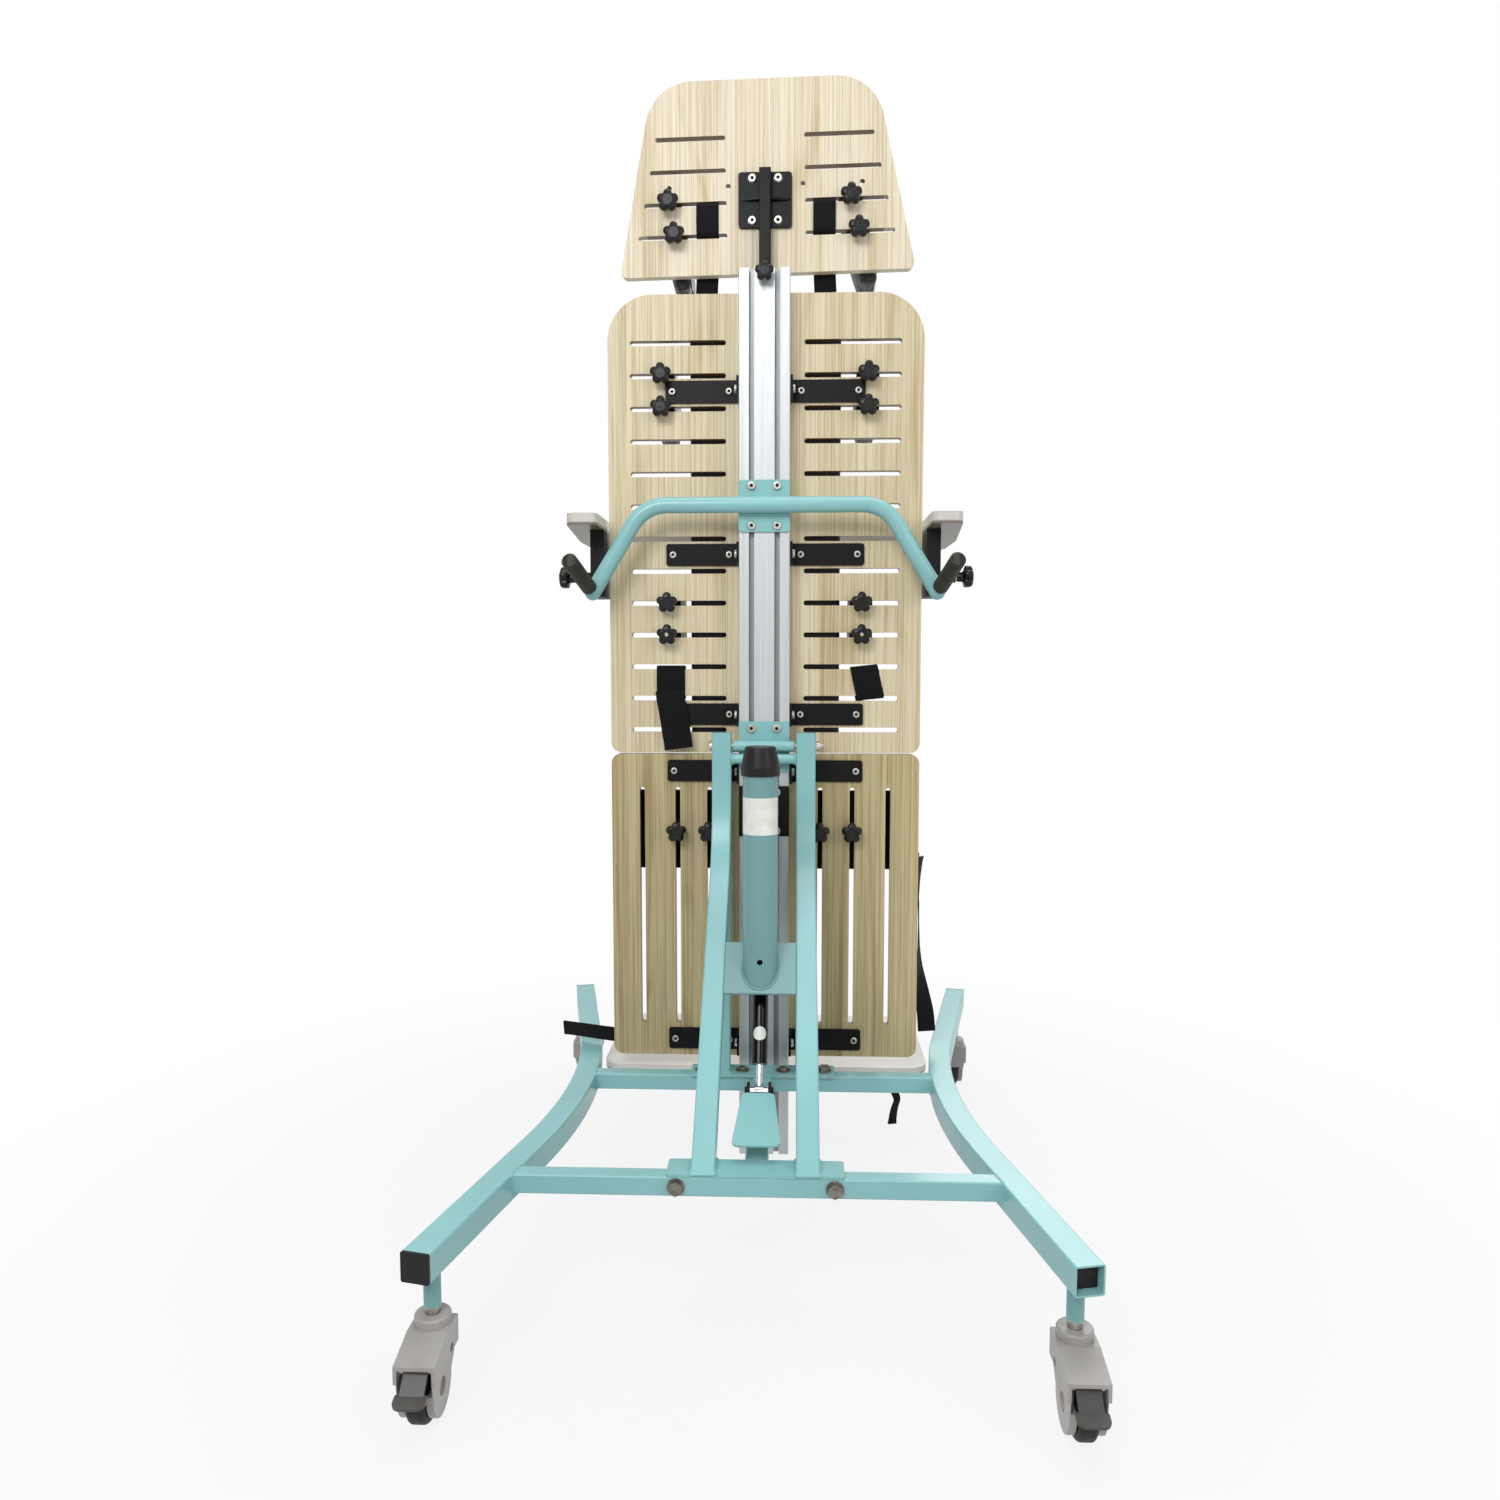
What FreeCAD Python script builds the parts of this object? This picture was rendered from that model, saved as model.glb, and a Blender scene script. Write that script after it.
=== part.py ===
import FreeCAD, Part
import math
import os

os.makedirs("parts", exist_ok=True)

# Physiotherapy tilt table, upright. Millimetres, +Z up, floor at zero, patient side towards +Y.

# Fits and small shared sizes
seat_gap = 0.3
pin_clearance = 0.05
cut_overrun = 5.0
weld_bite = 1.0
tiny = 0.001

# Base frame
base_length = 1000.0
leg_section = 35.0
leg_wall = 2.0
leg_edge_radius = 2.6
leg_top_z = 190.0
leg_waist_x = 278.0
leg_bend_radius = 980.0
leg_splay_deg = 12.5
end_cap_thickness = 3.0
end_cap_plug = 9.0
crossbar_section = 25.0
crossbar_wall = 2.0
crossbar_edge_radius = 2.2
rear_crossbar_y = -301.5
front_crossbar_y = 42.5
centre_tube_width = 30.0

# Uprights and braces
upright_section = 30.0
upright_wall = 2.0
upright_edge_radius = 2.6
upright_gap = 102.0
upright_top_z = 721.0
upright_bend_z = 548.0
upright_bend_radius = 190.0
upright_foot_y = -292.0
brace_foot_y = 45.0
brace_lean_y = 45.0
brace_lean_z = 336.0
base_plate_thickness = 4.0
base_plate_half_width = 112.0
base_plate_depth = 44.0
base_plate_corner = 4.0
base_flange_drop = 8.0
base_flange_notch_half = 26.0

# Pivot
pivot_y = 90.0
pivot_z = 700.0
pivot_offset = 15.0
pivot_bolt_radius = 4.0
sleeve_radius = 8.0
sleeve_half_length = 48.0
pivot_head_radius = 7.0
pivot_head_thickness = 5.5
pivot_nut_thickness = 7.0
pivot_thread_tail = 5.0
block_rise = 38.0
block_drop = 42.0
block_plate_thickness = 4.0
block_web_height = 10.0
block_bolt_inset = 11.0
cross_tube_radius = 8.0
cross_tube_back = 4.0
cross_tube_drop = 20.0
cross_flare_radius = 11.0
cross_flare_length = 5.0

# Stop post
stop_radius = 25.0
stop_wall = 2.5
stop_y = -95.0
stop_cap_gap = 1.0
stop_cap_skirt = 12.0
stop_cap_wall = 2.5
stop_cap_height = 29.0
stop_cap_taper = 6.0
stop_cap_round = 4.0
saddle_thickness = 4.0
saddle_length = 84.0
drain_radius = 4.0
drain_rise = 14.0

# Bolts and screws
button_radius = 6.75
button_height = 4.2
button_round = 1.8
socket_radius = 2.6
socket_depth = 2.2
washer_radius = 11.0
washer_thickness = 1.6
shank_radius = 3.9
screw_shank_radius = 2.5
screw_length = 11.0
pan_radius = 5.6
hex_radius = 9.5
hex_height = 6.4
hex_washer_radius = 11.5
rear_bolt_x = 99.5
front_bolt_inner_x = 32.0
front_bolt_outer_x = 96.0

# Spine profile
spine_width = 80.0
spine_depth = 40.0
spine_bottom_z = 30.0
spine_top_z = 1435.0
spine_edge_radius = 2.0
slot_mouth = 8.2
slot_lip = 4.5
slot_inner_width = 16.0
slot_inner_depth = 6.0
slot_spacing = 40.0
spine_core_radius = 3.4
post_section = 18.0
post_edge_radius = 2.0
post_play = 0.3
nut_side = 14.0
nut_thickness = 4.5

# Boards
board_thickness = 15.0
board_gap = 2.0
board_half_width = 250.0
trunk_bottom_z = 685.0
trunk_height = 724.0
trunk_top_radius = 72.0
board_small_radius = 16.0
slot_width = 8.0
slot_inner_x = 62.0
slot_edge_inset = 35.0
slot_pitch = 51.0
slot_rows = 13
slot_top_inset = 75.0
leg_board_bottom_z = 181.0
leg_slot_inner_x = 90.0
leg_slot_middle_x = 142.0
leg_slot_edge_inset = 50.0
leg_slot_bottom_inset = 53.0
leg_slot_top_inset = 55.0

# Board brackets
bracket_height = 35.0
bracket_thickness = 4.0
bracket_reach = 118.0
bracket_screw_inset = 11.0
bracket_inner_screw = 17.0
leg_bracket_top_inset = 27.5
leg_bracket_bottom_inset = 29.0

# Head section
head_gap = 28.0
head_height = 292.0
head_half_bottom = 231.0
head_half_top = 172.0
head_top_radius = 75.0
head_bottom_radius = 10.0
head_lean_deg = 1.2
head_slot_width = 7.0
head_slot_inner_x = 61.0
head_slot_top_x = 170.0
head_slot_step_x = 10.0
head_slot_rows = 4
head_slot_bottom_inset = 59.0
head_slot_pitch = 49.0
head_hole_radius = 4.0
head_hole_inner_x = 58.0
head_hole_outer_x = 150.0
head_hole_inset = 133.0
head_plate_size = 83.0
head_plate_thickness = 5.0
head_plate_rise = 111.0
head_plate_corner = 5.0
head_bolt_spacing_x = 40.0
head_bolt_spacing_z = 63.0
post_engaged = 145.0
clamp_knob_inset = 11.0

# Star knobs
knob_radius = 15.0
knob_core_radius = 10.6
knob_lobe_radius = 4.6
knob_lobes = 5
knob_thickness = 12.0
knob_hub_radius = 6.0
knob_hub_length = 10.0
stud_radius = 2.9
knob_washer_radius = 7.3
knob_washer_thickness = 1.5

# Supports on the boards
support_plate_thickness = 4.0
support_plate_half = 18.0
support_plate_margin = 16.0
side_pad_thickness = 34.0
side_pad_depth = 150.0
side_pad_height = 130.0
pad_crown = 7.0
pad_draw = 3.0
chest_knob_x = 163.0
chest_row = 1
hip_knob_x = 155.0
hip_row = 8
head_left_upper_x = 150.0
head_left_lower_x = 142.0
head_right_upper_x = 133.0
head_right_lower_x = 144.0
head_pad_depth = 110.0
head_pad_height = 150.0
head_pad_drop = 60.0
knee_knob_rise = 376.0
knee_plate_height = 130.0
knee_plate_inner_x = 80.0
knee_plate_outer_x = 212.0
knee_pad_thickness = 40.0
knee_pad_inset = 3.0

# Trunk cushion
cushion_half_width = 128.0
cushion_thickness = 48.0
cushion_bottom_inset = 15.0
cushion_top_inset = 24.0
cushion_crown = 12.0
cushion_draw = 5.0

# Push handle
handle_plate_size = 80.0
handle_plate_thickness = 4.0
handle_plate_corner = 5.0
handle_z = 1074.0
handle_bolt_spacing_z = 61.0
handle_tube_radius = 12.5
handle_corner_x = 186.0
handle_end_x = 268.0
handle_drop = 134.0
handle_bend_radius = 62.0
grip_core_radius = 8.0
grip_radius = 12.0
grip_back = 96.0
grip_rise = 42.0
grip_out = 18.0
grip_start = 17.0
grip_end_wall = 4.0
grip_round = 3.0

# Tray
tray_thickness = 18.0
tray_top_z = 1058.0
tray_rear_half = 300.0
tray_wide_half = 326.0
tray_wide_y = 300.0
tray_rear_y = 47.0
tray_front_y = 520.0
tray_arm_clear = 4.0
tray_bay_y = 390.0
tray_bay_radius = 120.0
tray_rear_corner = 14.0
tray_front_corner = 90.0
tray_bracket_thickness = 22.0
tray_bracket_height = 106.0
tray_bracket_rear_y = 116.0
tray_bracket_front_y = 196.0
tray_bracket_corner = 14.0
tray_pivot_drop = 73.0
tray_boss_radius = 9.0
tray_boss_length = 28.0
tray_stud_radius = 4.0
tray_stud_depth = 30.0
tray_knob_radius = 19.0

# Footplate
foot_half_width = 272.0
foot_thickness = 12.0
foot_top_z = 156.0
foot_depth = 270.0
foot_corner = 32.0
foot_board_gap = 2.0
carriage_half_width = 35.0
carriage_thickness = 6.0
carriage_drop = 88.0
gusset_thickness = 5.0
gusset_reach = 150.0
gusset_x = 30.0
carriage_knob_drop = 60.0

# Gas spring
spring_top_back = 30.0
spring_top_drop = 110.0
spring_foot_y = -150.0
spring_foot_rise = 46.0
spring_tube_radius = 11.0
spring_rod_radius = 5.0
spring_tube_start = 18.0
spring_tube_end = 374.0
spring_neck_radius = 6.0
spring_eye_radius = 9.0
spring_eye_thickness = 12.0
spring_pin_radius = 4.0
spring_rod_inside = 190.0
spring_bore_spare = 6.0
spring_ear_gap = 16.0
spring_ear_thickness = 4.0
spring_ear_radius = 11.0
spring_plate_size = 80.0
spring_plate_thickness = 4.0
spring_plate_rise = 5.0
spring_bolt_inset = 9.0
spring_pin_head = 3.0

# Foot pedal and its bracket
foot_ear_gap = 26.0
foot_ear_thickness = 4.0
foot_bracket_floor = 3.0
foot_bracket_front = 16.0
foot_bracket_height = 58.0
foot_bracket_corner = 12.0
pedal_hinge_back = 50.0
pedal_hinge_rise = 44.0
pedal_ear_radius = 7.0
pedal_front_gap = 2.0
pedal_front_y = -188.0
pedal_front_rise = 60.0
pedal_rear_y = -282.0
pedal_rear_rise = 28.0
pedal_thickness = 3.0
pedal_front_half = 22.0
pedal_rear_half = 32.0
pedal_corner = 8.0
pedal_pin_radius = 3.0
pedal_lug_thickness = 4.0
pedal_lug_radius = 6.5

# Straps
strap_thickness = 2.2
trunk_strap_width = 46.0
trunk_strap_row = 10
trunk_strap_left_x = -152.0
trunk_strap_right_x = 164.0
trunk_strap_hang = 82.0
head_strap_width = 36.0
head_strap_left_x = -90.0
head_strap_right_x = 92.0
head_strap_end_gap = 3.0
ankle_strap_width = 24.0
ankle_strap_start_x = 160.0
ankle_strap_end_x = 352.0
ankle_strap_end_y = 205.0
ankle_strap_rise = 14.0
side_strap_width = 30.0
side_strap_top_rise = 340.0
side_strap_bottom_rise = 36.0
side_strap_clear = 3.0
foot_strap_width = 28.0
foot_strap_x = 218.0
foot_strap_inset = 14.0
foot_strap_drop = 92.0

# Casters
wheel_radius = 37.5
wheel_width = 22.0
wheel_edge_radius = 6.0
axle_radius = 4.0
caster_trail = 32.0
fork_gap = 1.0
cheek_half_width = 20.0
cheek_radius = 31.0
hood_half_width = 23.0
hood_round = 3.0
hood_rear = 66.0
hood_front = 18.0
hood_top_z = 92.0
hood_slope_drop = 12.0
hood_roof = 4.5
hood_side_z = 60.0
collar_radius = 20.5
collar_height = 11.0
collar_round = 2.5
stem_radius = 9.8
stem_nut_height = 7.0
stem_nut_radius = 8.6
swivel_pin_radius = 6.0
swivel_pin_depth = 14.0
stem_inset = 32.0
hub_hole_radius = 10.0
hub_hole_depth = 3.0
side_hole_radius = 5.0
side_hole_back = 7.0
side_hole_z = 66.0
brake_bay_half = 19.0
brake_bay_depth = 18.0
brake_bay_bottom_z = 45.0
brake_half_width = 13.5
brake_hinge_back = 57.0
brake_hinge_z = 71.0
brake_knee_back = 75.0
brake_knee_z = 53.0
brake_lip_reach = 16.0
brake_lip_fall = 4.0
brake_lip_half_width = 18.0
brake_thickness = 3.2
brake_pin_radius = 2.0


def vec(x, y, z):
    return FreeCAD.Vector(x, y, z)


X_AXIS = vec(1, 0, 0)
Y_AXIS = vec(0, 1, 0)
Z_AXIS = vec(0, 0, 1)
ORIGIN = vec(0, 0, 0)

# Places that follow from the sizes above
leg_half = leg_section / 2
leg_mid_z = leg_top_z - leg_half
leg_bottom_z = leg_top_z - leg_section
splay = math.radians(leg_splay_deg)
leg_vertex_x = leg_waist_x - leg_bend_radius * (1 / math.cos(splay) - 1)
leg_end_x = leg_vertex_x + base_length / 2 * math.tan(splay)
crossbar_half = crossbar_section / 2
crossbar_mid_z = leg_top_z - crossbar_half
crossbar_bottom_z = leg_top_z - crossbar_section
upright_x = (upright_gap + upright_section) / 2
upright_half = upright_section / 2
upright_inner_x = upright_gap / 2
upright_outer_x = upright_inner_x + upright_section
plate_top_z = leg_top_z + base_plate_thickness
spine_half = spine_width / 2
spine_rear_y = pivot_y + pivot_offset
spine_mid_y = spine_rear_y + spine_depth / 2
spine_front_y = spine_rear_y + spine_depth
slot_x = slot_spacing / 2
board_rear_y = spine_front_y
board_front_y = board_rear_y + board_thickness
trunk_top_z = trunk_bottom_z + trunk_height
slot_outer_x = board_half_width - slot_edge_inset
slot_top_row_z = trunk_top_z - slot_top_inset
leg_slot_outer_x = board_half_width - leg_slot_edge_inset
leg_board_top_z = trunk_bottom_z - board_gap
leg_slot_bottom_z = leg_board_bottom_z + leg_slot_bottom_inset
leg_slot_top_z = leg_board_top_z - leg_slot_top_inset
head_bottom_z = trunk_top_z + head_gap
post_front_y = spine_mid_y + post_section / 2
head_rear_y = post_front_y + head_plate_thickness
head_front_y = head_rear_y + board_thickness
head_plate_z = spine_top_z + head_plate_rise
head_centre_z = head_bottom_z + head_height / 2
post_bottom_z = spine_top_z - post_engaged
clamp_knob_z = spine_top_z - clamp_knob_inset
head_slot_bottom_z = head_bottom_z + head_slot_bottom_inset
slope_y = pivot_y - upright_foot_y
slope_z = upright_bend_z - plate_top_z
slope_length = math.hypot(slope_y, slope_z)
slope_along = vec(0, slope_y / slope_length, slope_z / slope_length)
slope_out = vec(0, -slope_along.z, slope_along.y)
stop_cap_top_z = pivot_z + pivot_offset - stop_cap_gap
stop_top_z = stop_cap_top_z - stop_cap_height
spring_top = vec(0, pivot_y - spring_top_back, pivot_z - spring_top_drop)
spring_foot = vec(0, spring_foot_y, leg_top_z + spring_foot_rise)
spring_along = (spring_foot - spring_top).normalize()
spring_length = (spring_foot - spring_top).Length
pedal_hinge_y = spring_foot_y - pedal_hinge_back
pedal_hinge_z = leg_top_z + pedal_hinge_rise
tray_bottom_z = tray_top_z - tray_thickness
tray_bracket_inner_x = board_half_width + tray_arm_clear
tray_bracket_outer_x = tray_bracket_inner_x + tray_bracket_thickness
tray_knob_seat_x = tray_bracket_outer_x + tray_boss_length
tray_pivot_z = tray_bottom_z - tray_pivot_drop
tray_pivot_y = board_rear_y + board_thickness / 2
foot_bottom_z = foot_top_z - foot_thickness
foot_rear_y = board_front_y + foot_board_gap
stem_x = leg_end_x - stem_inset * math.sin(splay)
stem_y = base_length / 2 - stem_inset * math.cos(splay)
collar_top_z = hood_top_z + collar_height


# Basic shapes

def block(x0, x1, y0, y1, z0, z1):
    return Part.makeBox(x1 - x0, y1 - y0, z1 - z0, vec(x0, y0, z0))


def rod(radius, start, end):
    path = end - start
    return Part.makeCylinder(radius, path.Length, start, path)


def direction(start, end):
    path = end - start
    return path.normalize()


def fuse_all(shapes):
    joined = shapes[0].fuse(shapes[1:])
    return joined.removeSplitter()


def mirrored(shape):
    return shape.mirror(ORIGIN, X_AXIS)


def piece_near(shape, point):
    return min(shape.Solids, key=lambda solid: (solid.CenterOfMass - point).Length)


def rounded_face(corners, radii, place):
    # A flat face with rounded corners; place turns two plane coordinates into a point
    count = len(corners)
    arcs = []
    for i in range(count):
        corner = vec(corners[i][0], corners[i][1], 0)
        before = vec(corners[i - 1][0], corners[i - 1][1], 0)
        after = vec(corners[(i + 1) % count][0], corners[(i + 1) % count][1], 0)
        if radii[i] < tiny:
            arcs.append((corner, None, corner))
            continue
        back = direction(corner, before)
        ahead = direction(corner, after)
        half = back.getAngle(ahead) / 2
        reach = radii[i] / math.tan(half)
        inward = (back + ahead).normalize()
        centre = corner + inward * (radii[i] / math.sin(half))
        arcs.append((corner + back * reach, centre - inward * radii[i], corner + ahead * reach))
    edges = []
    for i in range(count):
        last = arcs[i - 1][2]
        first, middle, end = arcs[i]
        if (first - last).Length > tiny:
            edges.append(Part.LineSegment(place(last.x, last.y), place(first.x, first.y)).toShape())
        if middle is not None:
            curve = Part.Arc(place(first.x, first.y), place(middle.x, middle.y), place(end.x, end.y))
            edges.append(curve.toShape())
    return Part.Face(Part.Wire(edges))


def plate_xy(corners, radii, z0, z1):
    face = rounded_face(corners, radii, lambda u, v: vec(u, v, z0))
    return face.extrude(vec(0, 0, z1 - z0))


def plate_xz(corners, radii, y0, y1):
    face = rounded_face(corners, radii, lambda u, v: vec(u, y0, v))
    return face.extrude(vec(0, y1 - y0, 0))


def plate_yz(corners, radii, x0, x1):
    face = rounded_face(corners, radii, lambda u, v: vec(x0, u, v))
    return face.extrude(vec(x1 - x0, 0, 0))


def rectangle(u0, u1, v0, v1):
    return [(u0, v0), (u1, v0), (u1, v1), (u0, v1)]


def slot_cutter(x0, x1, z0, z1, y0, y1):
    radius = min(x1 - x0, z1 - z0) / 2
    return plate_xz(rectangle(x0, x1, z0, z1), [radius] * 4, y0 - cut_overrun, y1 + cut_overrun)


def square_section(half_along_normal, half_across, edge_radius, normal):
    # Gives a function that draws the section at a point, square to a direction
    def draw(centre, along):
        side = along.cross(normal)
        side.normalize()
        corners = rectangle(-half_along_normal, half_along_normal, -half_across, half_across)
        return rounded_face(corners, [edge_radius] * 4, lambda u, v: centre + normal * u + side * v)
    return draw


def round_section(radius):
    def draw(centre, along):
        return Part.Face(Part.Wire(Part.Circle(centre, along, radius).toShape()))
    return draw


def run_along(points, bend_radius, draw):
    # Straight runs joined by tangent bends of one radius
    solids = []
    start = points[0]
    for i in range(1, len(points) - 1):
        before = direction(points[i - 1], points[i])
        after = direction(points[i], points[i + 1])
        turn = before.getAngle(after)
        reach = bend_radius * math.tan(turn / 2)
        enter = points[i] - before * reach
        solids.append(draw(start, before).extrude(enter - start))
        axis = before.cross(after)
        axis.normalize()
        centre = enter + axis.cross(before) * bend_radius
        solids.append(draw(enter, before).revolve(centre, axis, math.degrees(turn)))
        start = points[i] + after * reach
    last = direction(points[-2], points[-1])
    solids.append(draw(start, last).extrude(points[-1] - start))
    return fuse_all(solids)


def soften_end(shape, radius, centre):
    # Rounds the closed edges that lie round a centre
    edges = [edge for edge in shape.Edges if (edge.CenterOfMass - centre).Length < tiny]
    return shape.makeFillet(radius, edges)


def placed(shape, origin, x_dir, y_dir, z_dir):
    matrix = FreeCAD.Matrix(
        x_dir.x, y_dir.x, z_dir.x, origin.x,
        x_dir.y, y_dir.y, z_dir.y, origin.y,
        x_dir.z, y_dir.z, z_dir.z, origin.z,
        0, 0, 0, 1)
    copy = shape.copy()
    copy.Placement = FreeCAD.Placement(matrix)
    return copy


# Fasteners and knobs

def button_bolt(seat, out, head_radius, shank, shank_length, disc_radius):
    base = seat
    parts = []
    if disc_radius > 0:
        base = seat + out * washer_thickness
        parts.append(rod(disc_radius, seat, base))
    top = base + out * button_height
    head = soften_end(rod(head_radius, base, top), button_round, top)
    head = head.cut(rod(socket_radius, top - out * socket_depth, top + out * cut_overrun))
    parts.append(head)
    parts.append(rod(shank, seat - out * shank_length, base + out * weld_bite))
    return fuse_all(parts)


def hex_bolt(seat, out, side_dir, shank_length):
    base = seat + out * washer_thickness
    top = base + out * hex_height
    other = out.cross(side_dir)
    points = []
    for k in range(6):
        angle = math.radians(60 * k)
        across = side_dir * (hex_radius * math.cos(angle))
        points.append(base + across + other * (hex_radius * math.sin(angle)))
    face = Part.Face(Part.makePolygon(points + [points[0]]))
    head = face.extrude(top - base)
    disc = rod(hex_washer_radius, seat, base)
    shank = rod(shank_radius, seat - out * shank_length, base + out * weld_bite)
    return fuse_all([head, disc, shank])


def slot_nut(place, out):
    # Square nut that grips behind a slot's lips; place is on the slot's outer face
    side = nut_side / 2
    other = out.cross(Z_AXIS)
    points = []
    for a, b in ((-side, -side), (side, -side), (side, side), (-side, side)):
        points.append(place - out * slot_lip + Z_AXIS * a + other * b)
    face = Part.Face(Part.makePolygon(points + [points[0]]))
    return face.extrude(out * -nut_thickness)


def spine_bolt(x, face_y, z):
    # Button bolt on a plate behind the spine, with its nut in the rear slot
    out = vec(0, -1, 0)
    depth = spine_rear_y - face_y + slot_lip + nut_thickness
    bolt = button_bolt(vec(x, face_y, z), out, button_radius, shank_radius, depth, 0)
    return fuse_all([bolt, slot_nut(vec(x, spine_rear_y, z), out)])


def star_knob(seat, out, stud, stud_length, radius):
    grow = radius / knob_radius
    base = seat + out * knob_washer_thickness
    neck = base + out * knob_hub_length
    top = neck + out * knob_thickness
    across = out.cross(Z_AXIS)
    other = out.cross(across)
    lobe_at = (knob_radius - knob_lobe_radius) * grow
    parts = [rod(knob_core_radius * grow, neck, top)]
    for k in range(knob_lobes):
        angle = 2 * math.pi * k / knob_lobes
        shift = across * (lobe_at * math.cos(angle)) + other * (lobe_at * math.sin(angle))
        parts.append(rod(knob_lobe_radius * grow, neck + shift, top + shift))
    parts.append(rod(knob_hub_radius, base, neck + out * weld_bite))
    parts.append(rod(knob_washer_radius, seat, base))
    parts.append(rod(stud, seat - out * stud_length, base + out * weld_bite))
    return fuse_all(parts)


# Base frame pieces

def leg_points():
    ends = base_length / 2
    middle = vec(leg_vertex_x, 0, leg_mid_z)
    return [vec(leg_end_x, -ends, leg_mid_z), middle, vec(leg_end_x, ends, leg_mid_z)]


def leg_outer():
    section = square_section(leg_half, leg_half, leg_edge_radius, Z_AXIS)
    return run_along(leg_points(), leg_bend_radius, section)


def leg_tube():
    half = leg_half - leg_wall
    section = square_section(half, half, leg_edge_radius - leg_wall, Z_AXIS)
    return leg_outer().cut(run_along(leg_points(), leg_bend_radius, section))


def leg_end_cap(end_sign):
    # Cap at the right leg's end; end_sign is -1 for the rear and 1 for the front
    out = vec(math.sin(splay), end_sign * math.cos(splay), 0)
    face = vec(leg_end_x, end_sign * base_length / 2, leg_mid_z)
    section = square_section(leg_half, leg_half, leg_edge_radius, Z_AXIS)
    plate = section(face, out).extrude(out * end_cap_thickness)
    half = leg_half - leg_wall - seat_gap
    plug = square_section(half, half, 0, Z_AXIS)(face, out).extrude(out * -end_cap_plug)
    return fuse_all([plate, plug])


def crossbar(y, bolt_xs, bolt_axis):
    section = square_section(crossbar_half, crossbar_half, crossbar_edge_radius, Z_AXIS)
    half = crossbar_half - crossbar_wall
    hollow = square_section(half, half, crossbar_edge_radius - crossbar_wall, Z_AXIS)
    start = vec(-leg_end_x, y, crossbar_mid_z)
    end = vec(leg_end_x, y, crossbar_mid_z)
    bar = section(start, X_AXIS).extrude(end - start)
    bar = bar.cut(hollow(start, X_AXIS).extrude(end - start))
    outer = leg_outer()
    bar = bar.cut([outer, mirrored(outer)])
    bar = piece_near(bar, vec(0, y, crossbar_mid_z))
    holes = []
    reach = bolt_axis * (crossbar_half + cut_overrun)
    for x in bolt_xs:
        middle = vec(x, y, crossbar_mid_z)
        holes.append(rod(shank_radius + pin_clearance, middle - reach, middle + reach))
    return bar.cut(holes)


def centre_tube():
    start = vec(0, rear_crossbar_y + crossbar_half, crossbar_mid_z)
    end = vec(0, front_crossbar_y - crossbar_half, crossbar_mid_z)
    half = centre_tube_width / 2
    outer = square_section(crossbar_half, half, crossbar_edge_radius, Z_AXIS)
    inner_edge = crossbar_edge_radius - crossbar_wall
    inner = square_section(crossbar_half - crossbar_wall, half - crossbar_wall, inner_edge, Z_AXIS)
    tube = outer(start, Y_AXIS).extrude(end - start)
    return tube.cut(inner(start, Y_AXIS).extrude(end - start))


def rear_base_plate():
    y0 = upright_foot_y - base_plate_depth / 2
    y1 = upright_foot_y + base_plate_depth / 2
    half = base_plate_half_width
    top = plate_xy(rectangle(-half, half, y0, y1), [base_plate_corner] * 4, leg_top_z, plate_top_z)
    face_y = rear_crossbar_y + crossbar_half
    bottom = crossbar_bottom_z - base_flange_drop
    flange = block(-half, half, face_y, face_y + base_plate_thickness, bottom, leg_top_z + weld_bite)
    notch = base_flange_notch_half
    reach = face_y + base_plate_thickness + cut_overrun
    gap = block(-notch, notch, face_y - cut_overrun, reach, bottom - cut_overrun, leg_top_z)
    plate = fuse_all([top, flange.cut(gap)])
    holes = []
    for x in (-rear_bolt_x, rear_bolt_x):
        start = vec(x, face_y - cut_overrun, crossbar_mid_z)
        holes.append(rod(shank_radius + pin_clearance, start, vec(x, reach, crossbar_mid_z)))
    return plate.cut(holes)


def front_bolt_places():
    return [-front_bolt_outer_x, -front_bolt_inner_x, front_bolt_inner_x, front_bolt_outer_x]


def brace_plate():
    y0 = brace_foot_y - base_plate_depth / 2
    y1 = brace_foot_y + base_plate_depth / 2
    half = base_plate_half_width
    plate = plate_xy(rectangle(-half, half, y0, y1), [base_plate_corner] * 4, leg_top_z, plate_top_z)
    holes = []
    for x in front_bolt_places():
        low = vec(x, front_crossbar_y, leg_top_z - cut_overrun)
        high = vec(x, front_crossbar_y, plate_top_z + cut_overrun)
        holes.append(rod(shank_radius + pin_clearance, low, high))
    return plate.cut(holes)


def base_bolts():
    bolts = []
    depth = crossbar_section + base_plate_thickness
    rear_face = rear_crossbar_y - crossbar_half
    for x in (-rear_bolt_x, rear_bolt_x):
        bolts.append(hex_bolt(vec(x, rear_face, crossbar_mid_z), vec(0, -1, 0), Z_AXIS, depth))
    for x in front_bolt_places():
        seat = vec(x, front_crossbar_y, plate_top_z)
        if x == front_bolt_outer_x:
            bolts.append(hex_bolt(seat, Z_AXIS, X_AXIS, depth))
        else:
            bolts.append(button_bolt(seat, Z_AXIS, button_radius, shank_radius, depth, washer_radius))
    return bolts


def upright_path(x, top_z):
    bend = vec(x, pivot_y, upright_bend_z)
    foot = vec(x, upright_foot_y, plate_top_z)
    below = foot - slope_along * (2 * upright_section)
    return [below, bend, vec(x, pivot_y, top_z)]


def below_plates():
    half = base_length
    return block(-half, half, -half, half, -half, plate_top_z)


def upright_outer(x, edge_radius):
    section = square_section(upright_half, upright_half, edge_radius, X_AXIS)
    outer = run_along(upright_path(x, upright_top_z), upright_bend_radius, section)
    return outer.cut(below_plates())


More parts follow.
